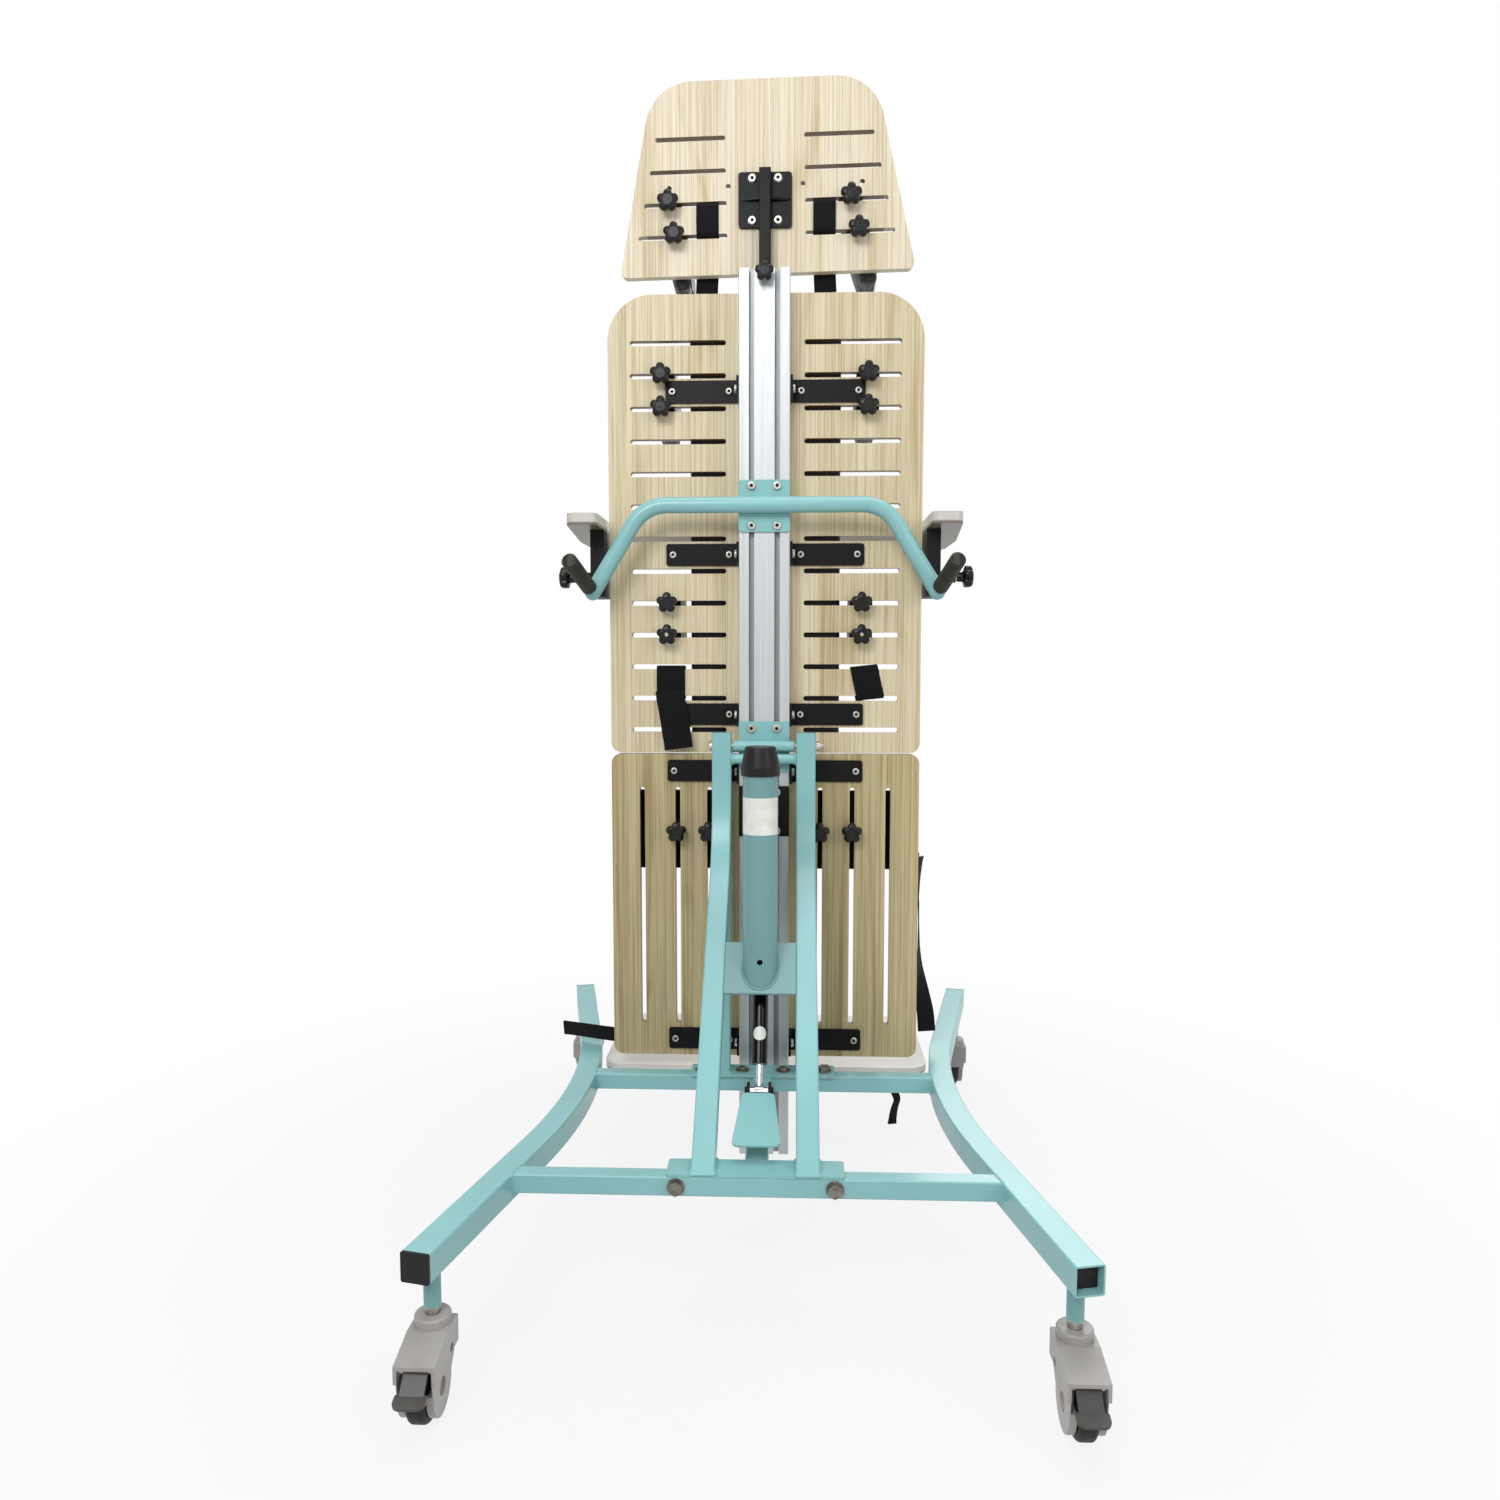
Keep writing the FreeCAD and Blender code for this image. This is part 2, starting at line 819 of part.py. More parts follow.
def upright(x):
    half = upright_half - upright_wall
    section = square_section(half, half, upright_edge_radius - upright_wall, X_AXIS)
    inner = run_along(upright_path(x, upright_top_z - upright_wall), upright_bend_radius, section)
    hole_start = vec(x - upright_section, pivot_y, pivot_z)
    hole_end = vec(x + upright_section, pivot_y, pivot_z)
    hole = rod(pivot_bolt_radius + pin_clearance, hole_start, hole_end)
    return upright_outer(x, upright_edge_radius).cut([inner, hole])


def brace_tube(x):
    along = direction(ORIGIN, vec(0, brace_lean_y, brace_lean_z))
    foot = vec(x, brace_foot_y, plate_top_z)
    start = foot - along * (2 * upright_section)
    end = foot + along * (brace_lean_z + 2 * upright_section)
    half = upright_half - upright_wall
    section = square_section(upright_half, upright_half, upright_edge_radius, X_AXIS)
    hollow = square_section(half, half, upright_edge_radius - upright_wall, X_AXIS)
    tube = section(start, along).extrude(end - start)
    tube = tube.cut(hollow(start, along).extrude(end - start))
    front_y = pivot_y + upright_half
    ahead = block(-base_length, base_length, front_y, base_length, 0, base_length)
    tube = tube.cut([below_plates(), ahead, upright_outer(x, 0)])
    return piece_near(tube, foot)


def pivot_cross_tube():
    y = pivot_y - cross_tube_back
    z = pivot_z - cross_tube_drop
    left_end = vec(-upright_inner_x, y, z)
    right_end = vec(upright_inner_x, y, z)
    tube = rod(cross_tube_radius, left_end, right_end)
    left = Part.makeCone(cross_flare_radius, cross_tube_radius, cross_flare_length, left_end, X_AXIS)
    right = Part.makeCone(cross_flare_radius, cross_tube_radius, cross_flare_length, right_end, vec(-1, 0, 0))
    return fuse_all([tube, left, right])


def pivot_bolt():
    left = vec(-upright_outer_x, pivot_y, pivot_z)
    right = vec(upright_outer_x, pivot_y, pivot_z)
    head_end = left - X_AXIS * pivot_head_thickness
    head = soften_end(rod(pivot_head_radius, left, head_end), button_round, head_end)
    nut_end = right + X_AXIS * pivot_nut_thickness
    nut = rod(pivot_head_radius, right, nut_end)
    shank = rod(pivot_bolt_radius, left - X_AXIS * weld_bite, nut_end + X_AXIS * pivot_thread_tail)
    return fuse_all([head, nut, shank])


def saddle_centre():
    # The point on the uprights' upper faces that lies under the stop post
    foot_top = vec(0, upright_foot_y, plate_top_z) + slope_out * upright_half
    run = (stop_y - foot_top.y) / slope_along.y
    return foot_top + slope_along * run


def slope_slab(half_x, half_run, depth):
    # A slab under the plane of the uprights' upper faces, round the stop post
    centre = saddle_centre()
    points = []
    for a, b in ((-half_x, -half_run), (half_x, -half_run), (half_x, half_run), (-half_x, half_run)):
        points.append(centre + X_AXIS * a + slope_along * b)
    return Part.Face(Part.makePolygon(points + [points[0]])).extrude(slope_out * -depth)


def stop_post():
    saddle = slope_slab(upright_inner_x, saddle_length / 2, saddle_thickness)
    low = vec(0, stop_y, plate_top_z)
    high = vec(0, stop_y, stop_top_z)
    tube = rod(stop_radius, low, high).cut(rod(stop_radius - stop_wall, low, high))
    tube = tube.cut(slope_slab(base_length, base_length, base_length))
    tube = piece_near(tube, high)
    drain_z = saddle_centre().z + drain_rise
    drain = rod(drain_radius, vec(0, stop_y - stop_radius - cut_overrun, drain_z), vec(0, stop_y, drain_z))
    return fuse_all([saddle, tube]).cut(drain)


def stop_cap():
    bore = stop_radius + pin_clearance
    outer = bore + stop_cap_wall
    skirt_base = vec(0, stop_y, stop_top_z - stop_cap_skirt)
    seat = vec(0, stop_y, stop_top_z)
    skirt = rod(outer, skirt_base, seat)
    cone = Part.makeCone(outer, outer - stop_cap_taper, stop_cap_height, seat, Z_AXIS)
    body = fuse_all([skirt, cone])
    body = soften_end(body, stop_cap_round, vec(0, stop_y, stop_cap_top_z))
    return body.cut(rod(bore, skirt_base - Z_AXIS * cut_overrun, seat))


def caster_stem(x, y):
    nut_low = vec(x, y, collar_top_z + seat_gap)
    nut_high = vec(x, y, collar_top_z + stem_nut_height)
    pin = rod(swivel_pin_radius, vec(x, y, collar_top_z - swivel_pin_depth), nut_high)
    nut = rod(stem_nut_radius, nut_low, nut_high)
    stem = rod(stem_radius, nut_high, vec(x, y, leg_bottom_z))
    return fuse_all([pin, nut, stem])


def pedal_bracket():
    half = foot_ear_gap / 2 + foot_ear_thickness
    rear = pedal_hinge_y - pedal_ear_radius
    front = spring_foot_y + foot_bracket_front
    step = pedal_front_y + pedal_front_gap
    top = leg_top_z + foot_bracket_height
    parts = [block(-half, half, rear, front, leg_top_z, leg_top_z + foot_bracket_floor)]
    for side in (-1, 1):
        x0 = min(side * foot_ear_gap / 2, side * half)
        x1 = x0 + foot_ear_thickness
        radii = [0, 0, foot_bracket_corner, foot_bracket_corner]
        parts.append(plate_yz(rectangle(step, front, leg_top_z, top), radii, x0, x1))
        parts.append(block(x0, x1, rear, step + weld_bite, leg_top_z, pedal_hinge_z))
        ear_start = vec(x0, pedal_hinge_y, pedal_hinge_z)
        parts.append(rod(pedal_ear_radius, ear_start, ear_start + X_AXIS * foot_ear_thickness))
        start = vec(side * half, spring_foot_y, spring_foot.z)
        end = start + X_AXIS * (side * spring_pin_head)
        parts.append(rod(spring_pin_radius + spring_pin_head, start, end))
        start = vec(side * half, pedal_hinge_y, pedal_hinge_z)
        parts.append(rod(pedal_pin_radius + weld_bite, start, start + X_AXIS * (side * spring_pin_head)))
    left_end = vec(-half, pedal_hinge_y, pedal_hinge_z)
    parts.append(rod(pedal_pin_radius, left_end, vec(half, pedal_hinge_y, pedal_hinge_z)))
    return fuse_all(parts)


# Casters, drawn with the swivel axis on the origin and the trail towards -Y

def wheel():
    half = X_AXIS * (wheel_width / 2)
    centre = vec(0, -caster_trail, wheel_radius)
    disc = rod(wheel_radius, centre - half, centre + half)
    disc = soften_end(disc, wheel_edge_radius, centre - half)
    disc = soften_end(disc, wheel_edge_radius, centre + half)
    reach = X_AXIS * (cheek_half_width - hub_hole_depth - seat_gap - weld_bite)
    return fuse_all([disc, rod(axle_radius, centre - reach, centre + reach)])


def fork():
    centre = vec(0, -caster_trail, wheel_radius)
    low_z = hood_top_z - hood_slope_drop
    outline = [
        (hood_front, hood_side_z), (hood_front, hood_top_z), (-collar_radius, hood_top_z),
        (-hood_rear, low_z), (-hood_rear, hood_side_z)]
    hood = plate_yz(outline, [0, hood_round, 0, 0, 0], -hood_half_width, hood_half_width)
    lower = [
        (hood_front, hood_side_z + weld_bite), (-hood_rear, hood_side_z + weld_bite),
        (-hood_rear, hood_side_z),
        (-caster_trail - cheek_radius, wheel_radius), (-caster_trail + cheek_radius, wheel_radius),
        (hood_front, hood_side_z)]
    side = cheek_half_width
    skirt = plate_yz(lower, [0] * 6, -side, side)
    disc = rod(cheek_radius, centre - X_AXIS * side, centre + X_AXIS * side)
    collar_base = vec(0, 0, hood_top_z - weld_bite)
    collar_top = vec(0, 0, collar_top_z)
    collar = soften_end(rod(collar_radius, collar_base, collar_top), collar_round, collar_top)
    body = fuse_all([hood, skirt, disc, collar])
    gap = wheel_width / 2 + fork_gap
    hollow = wheel_radius + 2 * fork_gap
    far = hood_rear + cut_overrun
    cuts = [rod(hollow, centre - X_AXIS * gap, centre + X_AXIS * gap)]
    cuts.append(block(-gap, gap, -far, far, -cut_overrun, wheel_radius))
    bay_front = -hood_rear + brake_bay_depth
    bay_top = low_z - hood_roof
    cuts.append(block(-brake_bay_half, brake_bay_half, -far, bay_front, brake_bay_bottom_z, bay_top))
    bore_low = vec(0, 0, collar_top_z - swivel_pin_depth - seat_gap)
    cuts.append(rod(swivel_pin_radius + pin_clearance, bore_low, vec(0, 0, collar_top_z + cut_overrun)))
    reach = X_AXIS * (cheek_half_width - hub_hole_depth - weld_bite)
    cuts.append(rod(axle_radius + pin_clearance, centre - reach, centre + reach))
    for sign in (-1, 1):
        face = centre + X_AXIS * (sign * (cheek_half_width - hub_hole_depth))
        cuts.append(rod(hub_hole_radius, face, face + X_AXIS * (sign * cut_overrun)))
    wide = hood_half_width + cut_overrun
    hole_start = vec(-wide, -side_hole_back, side_hole_z)
    cuts.append(rod(side_hole_radius, hole_start, vec(wide, -side_hole_back, side_hole_z)))
    return piece_near(body.cut(cuts), centre)


def brake_pedal():
    hinge = vec(0, -brake_hinge_back, brake_hinge_z)
    knee = vec(0, -brake_knee_back, brake_knee_z)
    half = brake_thickness / 2
    side = direction(hinge, knee).cross(X_AXIS) * half
    wide = brake_half_width
    outline = []
    for point in (hinge + side, knee + side, knee - side, hinge - side):
        outline.append((point.y, point.z))
    body = plate_yz(outline, [0] * 4, -wide, wide)
    lip_half = brake_lip_half_width
    corner = lip_half / 2
    outline = rectangle(-lip_half, lip_half, knee.y - brake_lip_reach, knee.y + half)
    lip = plate_xy(outline, [corner, corner, half, half], knee.z - half, knee.z + half)
    slope = math.degrees(math.atan2(brake_lip_fall, brake_lip_reach))
    lip.rotate(knee, X_AXIS, slope)
    barrel = rod(brake_thickness, hinge - X_AXIS * wide, hinge + X_AXIS * wide)
    reach = X_AXIS * (brake_bay_half - seat_gap)
    pin = rod(brake_pin_radius, hinge - reach, hinge + reach)
    return fuse_all([body, lip, barrel, pin])


def caster_at(shape, x, y):
    # Rear casters trail to the rear and front ones to the front
    copy = shape.copy()
    if y > 0:
        copy.rotate(ORIGIN, Z_AXIS, 180)
    copy.translate(vec(x, y, 0))
    return copy


# Tilting frame pieces

def spine():
    outline = rectangle(-spine_half, spine_half, spine_rear_y, spine_front_y)
    body = plate_xy(outline, [spine_edge_radius] * 4, spine_bottom_z, spine_top_z)
    low = spine_bottom_z - cut_overrun
    high = spine_top_z + cut_overrun
    mouth = slot_mouth / 2
    wide = slot_inner_width / 2
    deep = slot_lip + slot_inner_depth
    cuts = []
    for x in (-slot_x, slot_x):
        rear_mouth = (spine_rear_y - cut_overrun, spine_rear_y + slot_lip)
        cuts.append(block(x - mouth, x + mouth, *rear_mouth, low, high))
        cuts.append(block(x - wide, x + wide, spine_rear_y + slot_lip, spine_rear_y + deep, low, high))
        front_mouth = (spine_front_y - slot_lip, spine_front_y + cut_overrun)
        cuts.append(block(x - mouth, x + mouth, *front_mouth, low, high))
        cuts.append(block(x - wide, x + wide, spine_front_y - deep, spine_front_y - slot_lip, low, high))
        cuts.append(rod(spine_core_radius, vec(x, spine_mid_y, low), vec(x, spine_mid_y, high)))
    y = spine_mid_y
    edge = spine_half
    cuts.append(block(-edge - cut_overrun, -edge + slot_lip, y - mouth, y + mouth, low, high))
    cuts.append(block(-edge + slot_lip, -edge + deep, y - wide, y + wide, low, high))
    cuts.append(block(edge - slot_lip, edge + cut_overrun, y - mouth, y + mouth, low, high))
    cuts.append(block(edge - deep, edge - slot_lip, y - wide, y + wide, low, high))
    room = post_section / 2 + post_play
    cuts.append(block(-room, room, y - room, y + room, low, high))
    hole_radius = pivot_bolt_radius + pin_clearance
    cuts.append(rod(hole_radius, vec(0, spine_rear_y - cut_overrun, clamp_knob_z), vec(0, y, clamp_knob_z)))
    return body.cut(cuts)


def plate_holes(places, y0, y1):
    holes = []
    for x, z in places:
        start = vec(x, y0 - cut_overrun, z)
        holes.append(rod(shank_radius + pin_clearance, start, vec(x, y1 + cut_overrun, z)))
    return holes


def block_bolt_places():
    high = pivot_z + block_rise - block_bolt_inset
    low = pivot_z - block_drop + block_bolt_inset
    return [(-slot_x, high), (slot_x, high), (-slot_x, low), (slot_x, low)]


def pivot_block():
    y1 = spine_rear_y
    y0 = y1 - block_plate_thickness
    outline = rectangle(-spine_half, spine_half, pivot_z - block_drop, pivot_z + block_rise)
    plate = plate_xz(outline, [spine_edge_radius] * 4, y0, y1)
    half_web = block_web_height / 2
    web = block(-spine_half, spine_half, pivot_y, y0 + weld_bite, pivot_z - half_web, pivot_z + half_web)
    half = sleeve_half_length
    sleeve = rod(sleeve_radius, vec(-half, pivot_y, pivot_z), vec(half, pivot_y, pivot_z))
    body = fuse_all([plate, web, sleeve])
    reach = half + cut_overrun
    bore = rod(pivot_bolt_radius + pin_clearance, vec(-reach, pivot_y, pivot_z), vec(reach, pivot_y, pivot_z))
    return body.cut([bore] + plate_holes(block_bolt_places(), y0, y1))


def spring_bolt_places():
    middle = spring_top.z + spring_plate_rise
    rise = spring_plate_size / 2 - spring_bolt_inset
    return [(x, middle + dz) for x in (-slot_x, slot_x) for dz in (-rise, rise)]


def spring_bracket():
    y1 = spine_rear_y
    y0 = y1 - spring_plate_thickness
    half = spring_plate_size / 2
    middle = spring_top.z + spring_plate_rise
    plate = plate_xz(rectangle(-half, half, middle - half, middle + half), [spine_edge_radius] * 4, y0, y1)
    parts = [plate]
    gap = spring_ear_gap / 2
    outer = gap + spring_ear_thickness
    grow = spring_ear_radius
    for x0, x1 in ((gap, outer), (-outer, -gap)):
        outline = [
            (spring_top.y, spring_top.z - grow), (y0 + weld_bite, spring_top.z - 2 * grow),
            (y0 + weld_bite, spring_top.z + 2 * grow), (spring_top.y, spring_top.z + grow)]
        parts.append(plate_yz(outline, [0] * 4, x0, x1))
        parts.append(rod(grow, vec(x0, spring_top.y, spring_top.z), vec(x1, spring_top.y, spring_top.z)))
    reach = outer + spring_pin_head
    parts.append(rod(spring_pin_radius, spring_top - X_AXIS * reach, spring_top + X_AXIS * reach))
    head = spring_pin_radius + spring_pin_head
    for sign in (-1, 1):
        start = spring_top + X_AXIS * (sign * outer)
        parts.append(rod(head, start, start + X_AXIS * (sign * spring_pin_head)))
    return fuse_all(parts).cut(plate_holes(spring_bolt_places(), y0, y1))


def handle_bolt_places():
    rise = handle_bolt_spacing_z / 2
    return [(x, handle_z + dz) for x in (-slot_x, slot_x) for dz in (-rise, rise)]


def handle_tube_y():
    return spine_rear_y - handle_plate_thickness - handle_tube_radius + weld_bite


def handle_end(sign):
    return vec(sign * handle_end_x, handle_tube_y(), handle_z - handle_drop)


def grip_direction(sign):
    return vec(sign * grip_out, -grip_back, grip_rise).normalize()


def grip_length():
    return math.sqrt(grip_out ** 2 + grip_back ** 2 + grip_rise ** 2)


def handle_bar():
    y1 = spine_rear_y
    y0 = y1 - handle_plate_thickness
    half = handle_plate_size / 2
    outline = rectangle(-half, half, handle_z - half, handle_z + half)
    plate = plate_xz(outline, [handle_plate_corner] * 4, y0, y1)
    y = handle_tube_y()
    corners = [vec(-handle_corner_x, y, handle_z), vec(handle_corner_x, y, handle_z)]
    points = [handle_end(-1)] + corners + [handle_end(1)]
    parts = [plate, run_along(points, handle_bend_radius, round_section(handle_tube_radius))]
    for sign in (-1, 1):
        end = handle_end(sign)
        parts.append(Part.makeSphere(handle_tube_radius, end))
        core_end = end + grip_direction(sign) * (grip_length() - grip_end_wall)
        parts.append(rod(grip_core_radius, end, core_end))
    return fuse_all(parts).cut(plate_holes(handle_bolt_places(), y0, y1))


def handle_grip(sign):
    along = grip_direction(sign)
    start = handle_end(sign) + along * grip_start
    end = handle_end(sign) + along * grip_length()
    body = soften_end(rod(grip_radius, start, end), grip_round, end)
    core_end = end - along * (grip_end_wall - seat_gap)
    return body.cut(rod(grip_core_radius + pin_clearance, start - along * cut_overrun, core_end))


def bracket_zs():
    # Three pairs between the trunk board's slots, two pairs on the leg board
    places = [(trunk_row_z(row) + trunk_row_z(row + 1)) / 2 for row in (1, 6, 11)]
    places.append(leg_board_top_z - leg_bracket_top_inset)
    places.append(leg_board_bottom_z + leg_bracket_bottom_inset)
    return places


def bracket_screw_xs():
    return (spine_half + bracket_inner_screw, spine_half + bracket_reach - bracket_screw_inset)


def board_bracket(z):
    low = z - bracket_height / 2
    high = z + bracket_height / 2
    y0 = board_rear_y - bracket_thickness
    side_x = spine_half + bracket_thickness
    radii = [0, bracket_thickness, bracket_thickness, 0]
    flange = plate_xz(rectangle(spine_half, spine_half + bracket_reach, low, high), radii, y0, board_rear_y)
    mate = block(spine_half, side_x, spine_rear_y + bracket_thickness, board_rear_y, low, high)
    holes = []
    for x in bracket_screw_xs():
        start = vec(x, y0 - cut_overrun, z)
        holes.append(rod(screw_shank_radius + pin_clearance, start, vec(x, board_front_y, z)))
    side_start = vec(spine_half - cut_overrun, spine_mid_y, z)
    holes.append(rod(shank_radius + pin_clearance, side_start, vec(side_x + cut_overrun, spine_mid_y, z)))
    return fuse_all([flange, mate]).cut(holes)


def screw_holes_in_board(zs):
    holes = []
    reach = board_rear_y + screw_length
    for z in zs:
        for x in bracket_screw_xs():
            for sign in (-1, 1):
                start = vec(sign * x, board_rear_y - cut_overrun, z)
                holes.append(rod(screw_shank_radius + pin_clearance, start, vec(sign * x, reach, z)))
    return holes


def frame_screws():
    screws = []
    for x, z in block_bolt_places():
        screws.append(spine_bolt(x, spine_rear_y - block_plate_thickness, z))
    for x, z in spring_bolt_places():
        screws.append(spine_bolt(x, spine_rear_y - spring_plate_thickness, z))
    for x, z in handle_bolt_places():
        screws.append(spine_bolt(x, spine_rear_y - handle_plate_thickness, z))
    back = vec(0, -1, 0)
    face_y = board_rear_y - bracket_thickness
    depth = bracket_thickness + screw_length - seat_gap
    reach = bracket_thickness + slot_lip + nut_thickness
    for z in bracket_zs():
        for sign in (-1, 1):
            out = vec(sign, 0, 0)
            for x in bracket_screw_xs():
                seat = vec(sign * x, face_y, z)
                screws.append(button_bolt(seat, back, pan_radius, screw_shank_radius, depth, 0))
            seat = vec(sign * (spine_half + bracket_thickness), spine_mid_y, z)
            bolt = button_bolt(seat, out, button_radius, shank_radius, reach, 0)
            screws.append(fuse_all([bolt, slot_nut(vec(sign * spine_half, spine_mid_y, z), out)]))
    return screws


def trunk_row_z(row):
    return slot_top_row_z - slot_pitch * row


def trunk_board():
    outline = rectangle(-board_half_width, board_half_width, trunk_bottom_z, trunk_top_z)
    small = board_small_radius
    board = plate_xz(outline, [small, small, trunk_top_radius, trunk_top_radius], board_rear_y, board_front_y)
    cuts = []
    half = slot_width / 2
    for row in range(slot_rows):
        z = trunk_row_z(row)
        for x0, x1 in ((slot_inner_x, slot_outer_x), (-slot_outer_x, -slot_inner_x)):
            cuts.append(slot_cutter(x0, x1, z - half, z + half, board_rear_y, board_front_y))
    cuts.extend(screw_holes_in_board(bracket_zs()[:3]))
    for sign in (-1, 1):
        start = vec(sign * (board_half_width + cut_overrun), tray_pivot_y, tray_pivot_z)
        end = vec(sign * (board_half_width - tray_stud_depth - seat_gap), tray_pivot_y, tray_pivot_z)
        cuts.append(rod(tray_stud_radius + pin_clearance, start, end))
    return board.cut(cuts)


def leg_board():
    outline = rectangle(-board_half_width, board_half_width, leg_board_bottom_z, leg_board_top_z)
    board = plate_xz(outline, [board_small_radius] * 4, board_rear_y, board_front_y)
    cuts = []
    half = slot_width / 2
    for x in (leg_slot_inner_x, leg_slot_middle_x, leg_slot_outer_x):
        for middle in (-x, x):
            x0 = middle - half
            x1 = middle + half
            cuts.append(slot_cutter(x0, x1, leg_slot_bottom_z, leg_slot_top_z, board_rear_y, board_front_y))
    cuts.extend(screw_holes_in_board(bracket_zs()[3:]))
    return board.cut(cuts)


def pillow(width, length, thickness, crown, draw):
    # A cushion on the plane of its first two axes: crowned face and drawn-in sides
    def profile(size, place):
        half = size / 2
        side = thickness - crown
        pull = half - draw
        back_left = place(-pull, 0)
        back_right = place(pull, 0)
        front_right = place(pull, side)
        front_left = place(-pull, side)
        edges = [
            Part.LineSegment(back_left, back_right).toShape(),
            Part.Arc(back_right, place(half, side / 2), front_right).toShape(),
            Part.Arc(front_right, place(0, thickness), front_left).toShape(),
            Part.Arc(front_left, place(-half, side / 2), back_left).toShape()]
        return Part.Face(Part.Wire(edges))
    along_y = profile(width, lambda u, v: vec(u, -length / 2, v)).extrude(vec(0, length, 0))
    along_x = profile(length, lambda u, v: vec(-width / 2, u, v)).extrude(vec(width, 0, 0))
    return along_y.common(along_x)


def trunk_cushion():
    low = trunk_bottom_z + cushion_bottom_inset
    high = trunk_top_z - cushion_top_inset
    body = pillow(2 * cushion_half_width, high - low, cushion_thickness, cushion_crown, cushion_draw)
    origin = vec(0, board_front_y + seat_gap, (low + high) / 2)
    return placed(body, origin, vec(-1, 0, 0), Z_AXIS, Y_AXIS)


def tray_top():
    rear = tray_rear_half
    wide = tray_wide_half
    inner = tray_bracket_inner_x
    outline = [
        (inner, tray_rear_y), (rear, tray_rear_y), (wide, tray_wide_y), (wide, tray_front_y),
        (-wide, tray_front_y), (-wide, tray_wide_y), (-rear, tray_rear_y), (-inner, tray_rear_y),
        (-inner, tray_bay_y), (inner, tray_bay_y)]
    small = tray_rear_corner
    front = tray_front_corner
    bay = tray_bay_radius
    radii = [small, small, front, front, front, front, small, small, bay, bay]
    return plate_xy(outline, radii, tray_bottom_z, tray_top_z)


def tray_bracket(sign):
    x0 = min(sign * tray_bracket_inner_x, sign * tray_bracket_outer_x)
    x1 = x0 + tray_bracket_thickness
    low = tray_bottom_z - tray_bracket_height
    outline = rectangle(tray_bracket_rear_y, tray_bracket_front_y, low, tray_bottom_z)
    body = plate_yz(outline, [tray_bracket_corner, tray_bracket_corner, 0, 0], x0, x1)
    # A boss holds the knob clear of the handle's grip
    pivot = vec(sign * tray_bracket_inner_x, tray_pivot_y, tray_pivot_z)
    seat = vec(sign * tray_knob_seat_x, tray_pivot_y, tray_pivot_z)
    body = fuse_all([body, rod(tray_boss_radius, pivot, seat)])
    overrun = vec(sign * cut_overrun, 0, 0)
    return body.cut(rod(tray_stud_radius + pin_clearance, pivot - overrun, seat + overrun))


def tray_knob(sign):
    seat = vec(sign * tray_knob_seat_x, tray_pivot_y, tray_pivot_z)
    depth = tray_knob_seat_x - board_half_width + tray_stud_depth
    return star_knob(seat, vec(sign, 0, 0), tray_stud_radius, depth, tray_knob_radius)


def footplate():
    outline = rectangle(-foot_half_width, foot_half_width, foot_rear_y, foot_rear_y + foot_depth)
    return plate_xy(outline, [foot_corner] * 4, foot_bottom_z, foot_top_z)


def footplate_carriage():
    y0 = spine_front_y + seat_gap
    y1 = y0 + carriage_thickness
    half = carriage_half_width
    low = foot_bottom_z - carriage_drop
    plate = plate_xz(rectangle(-half, half, low, foot_bottom_z), [spine_edge_radius] * 4, y0, y1)
    parts = [plate]
    width = gusset_thickness / 2
    toe_z = foot_bottom_z - gusset_thickness
    for x in (-gusset_x, gusset_x):
        outline = [
            (y1 - weld_bite, low + gusset_thickness), (y1 + gusset_thickness, low + gusset_thickness),
            (y1 + gusset_reach, toe_z), (y1 + gusset_reach, foot_bottom_z), (y1 - weld_bite, foot_bottom_z)]
        parts.append(plate_yz(outline, [0] * 5, x - width, x + width))
    body = fuse_all(parts)
    knob_z = foot_bottom_z - carriage_knob_drop
    hole_start = vec(0, y0 - cut_overrun, knob_z)
    hole = rod(stud_radius + pin_clearance, hole_start, vec(0, y1 + cut_overrun, knob_z))
    knob = star_knob(vec(0, y1, knob_z), Y_AXIS, stud_radius, carriage_thickness, knob_radius)
    return [body.cut(hole), knob]


# Head section pieces

def lean(shape):
    copy = shape.copy()
    copy.rotate(vec(0, head_rear_y, head_centre_z), Y_AXIS, -head_lean_deg)
    return copy


def lean_point(x, z):
    angle = math.radians(head_lean_deg)
    up = z - head_centre_z
    z_out = head_centre_z + x * math.sin(angle) + up * math.cos(angle)
    return (x * math.cos(angle) - up * math.sin(angle), z_out)


def head_row_z(row):
    return head_slot_bottom_z + head_slot_pitch * (head_slot_rows - 1 - row)


def head_bolt_places():
    rise = head_bolt_spacing_z / 2
    half = head_bolt_spacing_x / 2
    return [(x, head_plate_z + dz) for x in (-half, half) for dz in (-rise, rise)]


def head_board():
    top_z = head_bottom_z + head_height
    outline = [
        (-head_half_bottom, head_bottom_z), (head_half_bottom, head_bottom_z),
        (head_half_top, top_z), (-head_half_top, top_z)]
    radii = [head_bottom_radius, head_bottom_radius, head_top_radius, head_top_radius]
    board = plate_xz(outline, radii, head_rear_y, head_front_y)
    cuts = []
    half = head_slot_width / 2
    for row in range(head_slot_rows):
        z = head_row_z(row)
        outer = head_slot_top_x + head_slot_step_x * row
        for x0, x1 in ((head_slot_inner_x, outer), (-outer, -head_slot_inner_x)):
            cuts.append(slot_cutter(x0, x1, z - half, z + half, head_rear_y, head_front_y))
    hole_z = head_bottom_z + head_hole_inset
    for x in (-head_hole_outer_x, -head_hole_inner_x, head_hole_inner_x, head_hole_outer_x):
        start = vec(x, head_rear_y - cut_overrun, hole_z)
        cuts.append(rod(head_hole_radius, start, vec(x, head_front_y + cut_overrun, hole_z)))
    board = lean(board.cut(cuts))
    bores = []
    for x, z in head_bolt_places():
        start = vec(x, head_rear_y - cut_overrun, z)
        bores.append(rod(screw_shank_radius + pin_clearance, start, vec(x, head_rear_y + screw_length, z)))
    return board.cut(bores)


